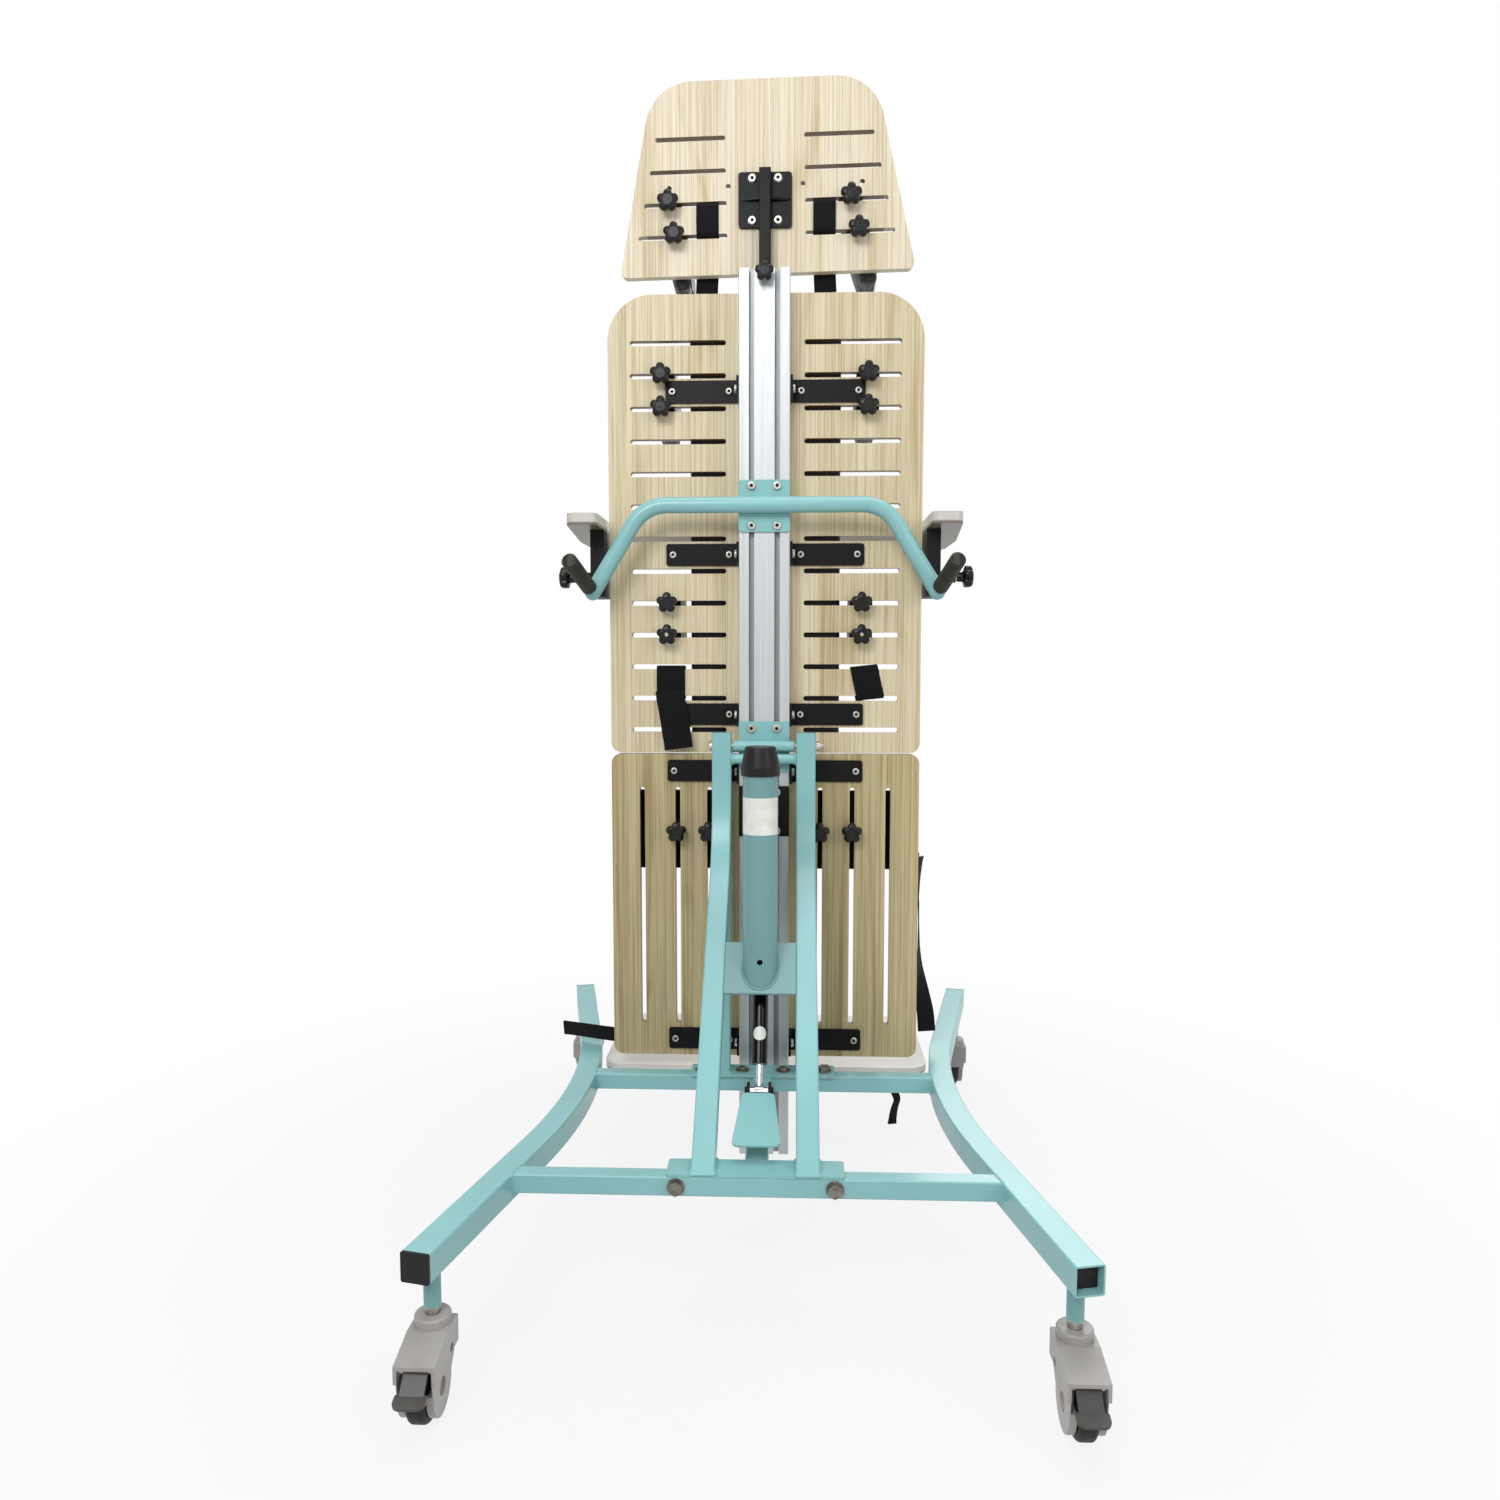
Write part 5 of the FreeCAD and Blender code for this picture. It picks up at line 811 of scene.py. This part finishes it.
def star_knob(name, seat, out, scale, body, replaced=(), bright_end=False):
    """A moulded five-lobed knob on a washer, from the face that it clamps outwards."""
    s = scale * MM
    rings = [(1.6 * s, 5.6 * s, 0), (2.6 * s, 6.3 * s, 0), (8.6 * s, 6.6 * s, 0), (10.4 * s, 8.2 * s, 0.10),
             (11.4 * s, 12.0 * s, 0.24), (12.2 * s, 14.2 * s, 0.31), (13.4 * s, 15.0 * s, 0.34),
             (18.6 * s, 15.0 * s, 0.34), (20.3 * s, 14.6 * s, 0.33), (21.5 * s, 13.6 * s, 0.30),
             (22.4 * s, 11.8 * s, 0.22), (23.1 * s, 9.4 * s, 0.14), (23.4 * s, 7.6 * s, 0.0),
             (22.8 * s, 7.0 * s, 0.0), (22.7 * s, 4.0 * s, 0.0), (22.9 * s, 1.2 * s, 0.0)]
    keep(turned(name, seat, out, rings, 5, 80), name, black_plastic, body, replaced)
    washer = [(0.05 * s, 5.9 * MM, 0), (0.25 * s, 6.4 * MM, 0), (1.3 * s, 6.5 * MM, 0), (1.6 * s, 6.1 * MM, 0)]
    keep(turned(name + "_washer", seat, out, washer, 0, 40), name + "_washer", zinc, body)
    if bright_end:
        stud = [(21.0 * s, 2.6 * s, 0), (23.3 * s, 2.6 * s, 0), (23.7 * s, 2.1 * s, 0)]
        keep(turned(name + "_stud_end", seat, out, stud, 0, 24), name + "_stud_end", zinc, body)


# Supports: pad, holder and two knobs each

def dress_support(side, what, pad_normal_axis, bright):
    node = f"{side}_{what}_support"
    parts = solids_of(node)
    pad = parts[0]
    low, high = box_of(pad)
    if what == "knee":
        held = lambda co: co.y < low.y + 0.003
        planes = [((0, high.y - 0.013, 0), (0, 1, 0)), ((0, low.y + 0.006, 0), (0, 1, 0))]
    else:
        inner = 1 if side == "left" else -1
        middle = (low + high) / 2
        held = lambda co: co.y < low.y + 0.003
        across = Vector((1, 0, 0))
        if what == "head":
            upper = [p for p in parts[1:]]
            knobs = sorted((box_of(p)[0] + box_of(p)[1] for p in upper if box_of(p)[1].y < low.y - 0.005),
                           key=lambda c: c.z)
            up = (knobs[-1] - knobs[0])
            up.y = 0
            up.normalize()
            across = Vector((up.z, 0, -up.x))
        around = [vertex.co.dot(across) for vertex in pad.verts]
        centre = across * ((min(around) + max(around)) / 2)
        if what == "head":
            planes = [(centre + across * 0.009, across), (centre - across * 0.009, across)]
        else:
            planes = [(middle + across * (inner * 0.010), across), (middle - across * (inner * 0.012), across)]
    cover = stuffed(node + "_pad", pad, held, 0.0018, 0.004, 0.005)
    body = node
    dress_pad(cover, body, [node])
    for index, (point, normal) in enumerate(planes):
        piping(f"{node}_piping_{index + 1}", cover, point, normal, 0.0016, body)
    for index, part in enumerate(parts[1:]):
        p_low, p_high = box_of(part)
        if p_high.y > low.y - 0.005:
            keep(mesh_from(part, node + "_holder"), node + "_holder", black_coat, body, [node])
        else:
            centre = (p_low + p_high) / 2
            seat = Vector((centre.x, p_high.y, centre.z))
            star_knob(f"{node}_knob_{index}", seat, (0, -1, 0), 1.12, body, [node], bright and index == bright)


for side in ("left", "right"):
    for what in ("head", "chest", "hip", "knee"):
        dress_support(side, what, None, 2 if what == "hip" else 0)

# The knobs at the head post and the tray

post_knob_low, post_knob_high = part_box("head_post_knob")
star_knob("head_post_star_knob", (0, 0.1047, 1.424), (0, -1, 0), 0.98, "head_knob", ["head_post_knob"])
for sign, side in ((-1, "left"), (1, "right")):
    star_knob(f"tray_{side}_star_knob", (sign * 0.304, 0.1525, 0.967), (sign, 0, 0), 1.2, "tray_knobs", ["tray_knobs"])


# Straps

def strap(name, points, across, width, body, replaced, hem=0.0, thickness=0.0019):
    mesh = band(name, points, across, width, thickness, hem)
    return keep(mesh, name, webbing, body, replaced)


BOARD_REAR = 0.1436
BOARD_FRONT = 0.1614
right = (1, 0, 0)

# Left trunk strap: over the rung, then a loose end that hangs across the bracket
strap("trunk_strap_left_loop", [
    (-0.152, 0.1616, 0.800), (-0.152, 0.1616, 0.8205), (-0.152, 0.158, 0.8245), (-0.152, 0.150, 0.8250),
    (-0.152, 0.1445, 0.8235), (-0.152, 0.1430, 0.8180), (-0.152, 0.1426, 0.798), (-0.152, 0.1432, 0.780),
    (-0.152, 0.1448, 0.7745), (-0.152, 0.152, 0.7722), (-0.152, 0.158, 0.7728), (-0.152, 0.1614, 0.7760),
    (-0.152, 0.1616, 0.799)], [right] * 13, 0.046, "tilt_frame", ["board_straps"])
strap("trunk_strap_left_end", [
    (-0.1535, 0.1398, 0.786), (-0.1525, 0.1375, 0.776), (-0.1500, 0.1352, 0.764), (-0.1465, 0.1342, 0.745),
    (-0.1435, 0.1338, 0.725), (-0.1405, 0.1330, 0.706), (-0.1385, 0.1318, 0.692)],
    [(1, 0, 0.02), (1, 0, 0.10), (1, 0.02, 0.15), (1, 0.03, 0.15), (1, 0.02, 0.13), (1, 0, 0.11), (1, -0.03, 0.10)],
    0.046, "tilt_frame", ["board_straps"], 0.011)

# Right trunk strap: it runs askew over its rung
strap("trunk_strap_right_loop", [
    (0.162, 0.1616, 0.800), (0.160, 0.1616, 0.8205), (0.159, 0.158, 0.8245), (0.159, 0.150, 0.8250),
    (0.1595, 0.1445, 0.8235), (0.1605, 0.1430, 0.8180), (0.1645, 0.1424, 0.798), (0.1690, 0.1432, 0.780),
    (0.1700, 0.1448, 0.7745), (0.170, 0.152, 0.7722), (0.1695, 0.158, 0.7728), (0.168, 0.1614, 0.7760),
    (0.164, 0.1616, 0.799)],
    [(1, 0, 0.1)] * 13, 0.044, "tilt_frame", ["board_straps"])

# Ankle strap: stiff webbing that stands out past the left edge
strap("ankle_strap", [
    (-0.165, 0.1616, 0.2065), (-0.205, 0.1617, 0.2068), (-0.245, 0.1626, 0.2072), (-0.270, 0.1690, 0.2074),
    (-0.300, 0.1810, 0.2070), (-0.328, 0.1935, 0.2060), (-0.346, 0.2030, 0.2045)],
    [(0, 0.05, 1), (0, 0.05, 1), (0.02, 0.05, 1), (0.05, 0.05, 1), (0.06, 0, 1), (0.05, -0.04, 1), (0.05, -0.05, 1)],
    0.024, "tilt_frame", ["board_straps"], 0.009)

# Side strap: beside the right knee pad, folded over and down past the board's edge
strap("side_strap_across", [
    (0.2165, 0.1618, 0.5055), (0.232, 0.1619, 0.5055), (0.246, 0.1624, 0.5050), (0.2530, 0.1660, 0.5045)],
    [(0, 0, 1), (0, 0, 1), (-0.02, 0, 1), (-0.05, 0, 1)], 0.029, "tilt_frame", ["board_straps"])
strap("side_strap_down", [
    (0.2565, 0.1700, 0.512), (0.2545, 0.1690, 0.490), (0.2535, 0.1665, 0.450), (0.2540, 0.1640, 0.405),
    (0.2545, 0.1625, 0.360), (0.2560, 0.1625, 0.325), (0.2600, 0.1640, 0.290), (0.2670, 0.1660, 0.250),
    (0.2700, 0.1680, 0.2185)],
    [(0.5, 1, 0), (0.25, 1, 0), (0.08, 1, 0), (0.12, 1, 0), (0.2, 1, 0.03), (0.45, 0.9, 0.05), (0.8, 0.55, 0.04),
     (1, 0.2, 0), (1, -0.05, -0.03)],
    0.029, "tilt_frame", ["board_straps"], 0.012)

# Head straps: round two rungs of the head board, then down in front of it
for sign, side, x in ((-1, "left", -0.090), (1, "right", 0.092)):
    tip = 1.4125
    shift = x * math.tan(math.radians(1.2))
    strap(f"head_strap_{side}_loop", [
        (x, 0.1556, 1.500 + shift), (x, 0.1556, 1.5425 + shift), (x, 0.152, 1.5455 + shift),
        (x, 0.144, 1.5460 + shift), (x, 0.1385, 1.5445 + shift), (x, 0.1370, 1.5395 + shift),
        (x, 0.1366, 1.520 + shift), (x, 0.1370, 1.5005 + shift), (x, 0.1388, 1.4965 + shift),
        (x, 0.146, 1.4945 + shift), (x, 0.152, 1.4945 + shift), (x, 0.1555, 1.4925 + shift),
        (x, 0.1575, 1.480 + shift), (x * 1.01, 0.1578, 1.455 + shift), (x * 1.02, 0.1572, 1.430), (x * 1.03, 0.1566, tip)],
        [(1, 0, math.tan(math.radians(1.2)))] * 16, 0.035, "head", ["head_straps"])

# Foot strap: thin webbing that hangs with a kink under the footplate
strap("foot_strap_webbing", [
    (0.2180, 0.1772, 0.1435), (0.2175, 0.1770, 0.132), (0.2150, 0.1772, 0.120), (0.2190, 0.1774, 0.108),
    (0.2230, 0.1772, 0.096), (0.2190, 0.1768, 0.082), (0.2165, 0.1766, 0.068), (0.2150, 0.1768, 0.054)],
    [(0.9, 0.5, 0), (0.8, 0.6, 0), (0.75, 0.65, 0.05), (0.7, 0.7, 0), (0.75, 0.65, 0), (0.8, 0.6, 0), (0.85, 0.5, 0),
     (0.9, 0.4, 0)],
    0.016, "footplate", ["foot_strap"], 0.006)


# Screw heads: the head plate's screws are zinc, and every button head gets a dark hexagon a hair above it, painted
# shade for its socket recess

def near_points(g, points, radius):
    """A mask of the places that lie, seen along Y, within a radius of any of the points."""
    where = g.place()
    flat = g.add("VectorMath", {0: where, 1: (1, 0, 1)}, operation="MULTIPLY").outputs["Vector"]
    mask = 0.0
    for point in points:
        gap = g.add("VectorMath", {0: flat, 1: (point.x, 0, point.z)}, operation="DISTANCE").outputs["Value"]
        mask = g.math("MAXIMUM", mask, g.math("LESS_THAN", gap, radius))
    return mask


def screws_of(node):
    """Centre of the head's outer face, outward direction and head radius of each screw of a node."""
    out = []
    for part in solids_of(node):
        low, high = box_of(part)
        middle = (low + high) / 2
        size = high - low
        across_y, across_x = abs(size.x - size.z), abs(size.y - size.z)
        if across_y < across_x:
            rear = sum(1 for v in part.verts if v.co.y < middle.y and (v.co - middle).xz.length > size.x * 0.4)
            front = sum(1 for v in part.verts if v.co.y > middle.y and (v.co - middle).xz.length > size.x * 0.4)
            way = Vector((0, -1 if rear >= front else 1, 0))
        else:
            low_side = sum(1 for v in part.verts
                           if v.co.x < middle.x and (v.co - middle).yz.length > size.y * 0.4)
            high_side = sum(1 for v in part.verts
                            if v.co.x > middle.x and (v.co - middle).yz.length > size.y * 0.4)
            way = Vector((-1 if low_side >= high_side else 1, 0, 0))
        reach = abs(size.dot(way)) / 2
        out.append((middle + way * reach, way, min(size.x, size.z) / 2 if abs(way.y) else size.y / 2))
    return out


# Dark hexagons laid just above each screw head: painted shade standing in for the socket recesses.
def socket_shades(name, screws, body, share=0.42):
    vertices = []
    faces = []
    for face, way, radius in screws:
        side = way.orthogonal().normalized()
        other = way.cross(side)
        start = len(vertices)
        for lift, size in ((0.00004, share), (0.00012, share), (0.00012, share * 0.6), (0.00008, share * 0.15)):
            for k in range(6):
                angle = math.pi / 3 * k + 0.3
                r = radius * size
                vertices.append(face + way * lift + side * (r * math.cos(angle)) + other * (r * math.sin(angle)))
        for row in range(3):
            for k in range(6):
                a = start + row * 6 + k
                b = start + row * 6 + (k + 1) % 6
                faces.append((a, b, b + 6, a + 6))
        faces.append(tuple(start + k for k in range(5, -1, -1)))
        faces.append(tuple(start + 18 + k for k in range(6)))
    keep(mesh_of(name, vertices, faces, 20.0), name, black_coat, body)


socket_shades("frame_screw_socket_shades", screws_of("frame_screws"), "tilt_frame")
small = [part for part in solids_of("head_post") if (box_of(part)[1] - box_of(part)[0]).length < 0.03]
plate_screws = [(box_of(part)[0] + box_of(part)[1]) / 2 for part in small]
rear_faces = [(Vector((p.x, box_of(part)[0].y, p.z)), Vector((0, -1, 0)), (box_of(part)[1] - box_of(part)[0]).x / 2)
              for p, part in zip(plate_screws, small)]
if plate_screws:
    socket_shades("head_plate_screw_socket_shades", rear_faces, "head")
    material, g, shader, normal = finish("black_coat_with_zinc_screws", 0.0006, Roughness=0.4)
    mask = near_points(g, plate_screws, rear_faces[0][2] + 0.0002)
    dark = use(g, colour_drift, {"Color": srgb("0A0B0D"), "Drift to": srgb("070809"), "Scale": 6.0})["Color"]
    light = use(g, colour_drift, {"Color": srgb("C9C7C1"), "Drift to": srgb("A7A49C"), "Scale": 90.0})["Color"]
    g.feed(shader.inputs["Base Color"], g.blend(mask, dark, light))
    g.feed(shader.inputs["Metallic"], g.math("MULTIPLY", mask, 0.9))
    g.feed(shader.inputs["Roughness"], g.math("SUBTRACT", 0.42, g.math("MULTIPLY", mask, 0.12)))
    shader.inputs["Specular IOR Level"].default_value = 0.2
    relief(g, shader, use(g, fine_relief, {"Scale": 1400.0})["Height"], 0.00005, 0.5, normal)
    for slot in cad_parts["head_post"].material_slots:
        slot.material = material

# The right rear leg has lost its cap; a dark plate set inside its open end is painted shade for the tube's hollow
leg_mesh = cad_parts["right_leg"].data
back_y = min(v.co.y for v in leg_mesh.vertices)
stem_place = Vector((0.35813, -0.46876, 0.1725))
outer = [v.co for v in leg_mesh.vertices if v.co.y < back_y + 0.0215 and v.co.y < stem_place.y - 0.012]
end_middle = sum(outer, Vector()) / max(1, len(outer))
way = Vector((end_middle.x - stem_place.x, end_middle.y - stem_place.y, 0)).normalized()
side = Vector((0, 0, 1)).cross(way)
centre = stem_place + way * 0.018
corners = []
for depth in (0.0, 0.001):
    for u, v in ((-1, -1), (1, -1), (1, 1), (-1, 1)):
        corners.append(centre + way * depth + side * (u * 0.0150) + Vector((0, 0, 1)) * (v * 0.0150))
quads = [(3, 2, 1, 0), (4, 5, 6, 7), (0, 1, 5, 4), (1, 2, 6, 5), (2, 3, 7, 6), (3, 0, 4, 7)]
keep(mesh_of("open_leg_end_shade", corners, quads, 20.0), "open_leg_end_shade", tread_rubber, "base")

# Chromed pins at both sides of each brake pedal
for end, y_sign in (("front", 1), ("rear", -1)):
    for name, x_sign in (("left", -1), ("right", 1)):
        for part_sign in (-1, 1):
            seat = (x_sign * 0.35813 + part_sign * 0.01365, y_sign * 0.52576, 0.071)
            rings = [(0.0, 0.0030, 0), (0.0002, 0.0033, 0), (0.0050, 0.0033, 0), (0.0052, 0.0030, 0)]
            label = f"{end}_{name}_brake_pin_{'in' if part_sign * x_sign < 0 else 'out'}"
            keep(turned(label, seat, (part_sign, 0, 0), rings, 0, 20), label, zinc, f"{end}_{name}_fork")


# Weld beads

trees = {}


def surface(node):
    if node not in trees:
        bm = bmesh.new()
        bm.from_mesh(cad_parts[node].data)
        trees[node] = BVHTree.FromBMesh(bm)
        bm.free()
    return trees[node]


def cast(node, start, way):
    hit = surface(node).ray_cast(Vector(start), Vector(way))
    return hit[0]


def weld(name, node, starts, way, radius, closed=True, body="base"):
    """A bead where rays from the starts meet a node."""
    hits = [cast(node, start, way) for start in starts]
    path = [hit for hit in hits if hit is not None]
    if len(path) < 3:
        return
    path = even_loop(path, 0.0011) if closed else resample(path, 0.0011)
    keep(tube(name, path, radius, closed, 0.35, 8), name, teal_paint, body)


def ring(u_low, u_high, v_low, v_high, place, step=0.003):
    """Points round a rectangle, set in space by place."""
    corners = [(u_low, v_low), (u_high, v_low), (u_high, v_high), (u_low, v_high)]
    out = []
    for k in range(4):
        (u0, v0), (u1, v1) = corners[k], corners[(k + 1) % 4]
        parts = max(1, int(math.hypot(u1 - u0, v1 - v0) / step))
        out += [place(u0 + (u1 - u0) * j / parts, v0 + (v1 - v0) * j / parts) for j in range(parts)]
    return out


for sign, side in ((-1, "left"), (1, "right")):
    for y, end in ((-0.3015, "rear"), (0.0425, "front")):
        starts = ring(y - 0.0128, y + 0.0128, 0.1648, 0.1895, lambda u, v: (sign * 0.15, u, v))
        weld(f"weld_{end}_bar_{side}", f"{side}_leg", starts, (sign, 0, 0), 0.0019)
    foot_low, foot_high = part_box(f"{side}_upright")
    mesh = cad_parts[f"{side}_upright"].data
    feet = [v.co for v in mesh.vertices if v.co.z < foot_low.z + 0.004]
    y_low, y_high = min(v.y for v in feet), max(v.y for v in feet)
    starts = ring(foot_low.x - 0.0004, foot_high.x + 0.0004, y_low - 0.0004, y_high + 0.0004, lambda u, v: (u, v, 0.5))
    path = [Vector((p[0], p[1], 0.1944)) for p in starts]
    keep(tube(f"weld_upright_foot_{side}", even_loop(path, 0.0011), 0.0021, True, 0.35, 8),
         f"weld_upright_foot_{side}", teal_paint, "base")
    low = 0.0296
    path = [Vector(p) for p in ring(sign * 0.066 - 0.0154, sign * 0.066 + 0.0154, low, 0.0611,
                                    lambda u, v: (u, v, 0.1943))]
    keep(tube(f"weld_brace_foot_{side}", even_loop(path, 0.0011), 0.0019, True, 0.35, 8),
         f"weld_brace_foot_{side}", teal_paint, "base")
for z, end in ((1.074 + 0.0127, "upper"), (1.074 - 0.0127, "lower")):
    starts = [(-0.039 + 0.078 * k / 26, 0.0, z) for k in range(27)]
    weld(f"weld_handle_{end}", "handle_bar", starts, (0, 1, 0), 0.0022, False, "tilt_frame")
starts = []
for k in range(61):
    angle = math.radians(-118 + 236 * k / 60)
    starts.append((0.0262 * math.sin(angle), -0.095 - 0.0262 * math.cos(angle), 0.60))
path = [hit for hit in (cast("stop_post", start, (0, 0, -1)) for start in starts) if hit is not None and hit.z > 0.36]
if len(path) > 6:
    keep(tube("weld_post_saddle", resample(path, 0.0011), 0.0020, False, 0.3, 8), "weld_post_saddle", shaded_teal_post,
         "base")


# Plain labels

def wrapped_label(name, centre, axis, out, radius, width, height, round_shape, body):
    """Thin paper on a round tube: width runs round the tube and height along it."""
    axis = Vector(axis).normalized()
    out = (Vector(out) - axis * Vector(out).dot(axis)).normalized()
    side = axis.cross(out)
    rows, columns = 14, 40
    vertices = []
    faces = []
    for layer in (0, 1):
        r = radius + (0.00005 if layer == 0 else 0.00022)
        for j in range(rows + 1):
            v = (j / rows - 0.5) * height
            reach = 0.5
            if round_shape:
                reach = 0.5 * math.sqrt(max(0.0, 1 - (2 * v / height) ** 2))
            for k in range(columns + 1):
                angle = (k / columns - 0.5) * 2 * reach * width / radius
                vertices.append(Vector(centre) + axis * v + out * (r * math.cos(angle)) + side * (r * math.sin(angle)))
    across = columns + 1
    count = (rows + 1) * across
    for j in range(rows):
        for k in range(columns):
            a = j * across + k
            faces.append((a, a + 1, a + across + 1, a + across))
            faces.append((count + a, count + a + across, count + a + across + 1, count + a + 1))
    for k in range(columns):
        faces.append((k, count + k, count + k + 1, k + 1))
        a = rows * across + k
        faces.append((a, a + 1, count + a + 1, count + a))
    for j in range(rows):
        a = j * across
        faces.append((a, a + across, count + a + across, count + a))
        a = j * across + columns
        faces.append((a, count + a, count + a + across, a + across))
    mesh = mesh_of(name, vertices, faces, 50.0)
    return keep(mesh, name, label_paper, body)


wrapped_label("stop_post_label", (0, -0.095, 0.617), (0, 0, 1), (0, -1, 0), 0.025, 0.066, 0.052, False, "base")
spring_axis = Vector((0, -0.5102, -0.8601))
spring_top = Vector((0, 0.060, 0.590))
wrapped_label("gas_spring_sticker", spring_top + spring_axis * 0.333, spring_axis, (0, -1, 0.4), 0.011, 0.020, 0.020,
              True, "gas_spring_cylinder")


# Camera

camera = bpy.data.objects.new("camera", bpy.data.cameras.new("camera"))
scene.collection.objects.link(camera)
camera.data.sensor_width = 36.0
camera.data.lens = 36.0 * 1110 / 1500
camera.data.clip_start = 0.05
camera.location = (0.045, -1.650, 0.835)
turn, tip = math.radians(2.2), math.radians(4.64)
ahead = Vector((-math.sin(turn) * math.cos(tip), math.cos(turn) * math.cos(tip), -math.sin(tip)))
camera.rotation_mode = "QUATERNION"
camera.rotation_quaternion = ahead.to_track_quat("-Z", "Y")
scene.camera = camera


# Floor, surroundings and light

def see_white(g, seen, other):
    """White where the camera, a gloss or a clear body looks, and another shader everywhere else."""
    path = g.add("LightPath").outputs
    looks = g.math("MAXIMUM", path["Is Camera Ray"], g.math("MAXIMUM", path["Is Glossy Ray"],
                                                          path["Is Transmission Ray"]))
    mix = g.add("MixShader", {"Fac": g.math("MULTIPLY", looks, seen)})
    g.tree.links.new(other, mix.inputs[1])
    white = g.add("Emission", {"Color": (1, 1, 1, 1), "Strength": 1.0}).outputs[0]
    g.tree.links.new(white, mix.inputs[2])
    return mix.outputs[0]


floor_mesh = bpy.data.meshes.new("floor")
reach = 9.0
floor_mesh.from_pydata([(-reach, -reach, -0.0004), (reach, -reach, -0.0004), (reach, reach, -0.0004),
                        (-reach, reach, -0.0004)], [], [(0, 1, 2, 3)])
floor = bpy.data.objects.new("floor", floor_mesh)
scene.collection.objects.link(floor)
floor_finish = bpy.data.materials.new("pale_floor")
floor_finish.use_nodes = True
floor_finish.node_tree.nodes.clear()
g = Graph(floor_finish.node_tree)
diffuse = g.add("BsdfDiffuse", {"Color": (0.55, 0.55, 0.54, 1)}).outputs[0]
far = g.add("VectorMath", {0: g.place()}, operation="LENGTH").outputs["Value"]
g.add("OutputMaterial", {"Surface": see_white(g, g.fade(far, 0.5, 1.5, 0.86, 1.0), diffuse)})
floor_mesh.materials.append(floor_finish)

world = bpy.data.worlds.new("surroundings")
scene.world = world
world.use_nodes = True
world.node_tree.nodes.clear()
g = Graph(world.node_tree)
path = g.add("LightPath").outputs
looks = g.math("MAXIMUM", path["Is Camera Ray"], path["Is Transmission Ray"])
looks = g.math("MAXIMUM", looks, g.math("MULTIPLY", path["Is Glossy Ray"], 0.6))
strength = g.math("ADD", 0.42, g.math("MULTIPLY", looks, 0.58))
background = g.add("Background", {"Color": (1, 1, 1, 1), "Strength": strength}).outputs[0]
g.add("OutputWorld", {"Surface": background})


def lamp(name, place, aim, size, power, colour=(1, 1, 1)):
    data = bpy.data.lights.new(name, "AREA")
    data.shape = "RECTANGLE"
    data.size, data.size_y = size
    data.energy = power
    data.color = colour
    made = bpy.data.objects.new(name, data)
    scene.collection.objects.link(made)
    made.location = place
    made.rotation_mode = "QUATERNION"
    made.rotation_quaternion = (Vector(aim) - Vector(place)).to_track_quat("-Z", "Y")


lamp("key_light", (-0.9, -2.7, 2.5), (0, 0, 1.0), (1.5, 1.1), 50)
lamp("fill_light", (2.1, -2.0, 1.6), (0, 0, 0.8), (1.2, 1.6), 16)
lamp("top_light", (0.2, 0.2, 3.6), (0, 0, 0.6), (2.2, 2.2), 46)
lamp("front_light", (0.6, 3.0, 2.2), (0, 0.1, 0.9), (2.0, 1.6), 34)
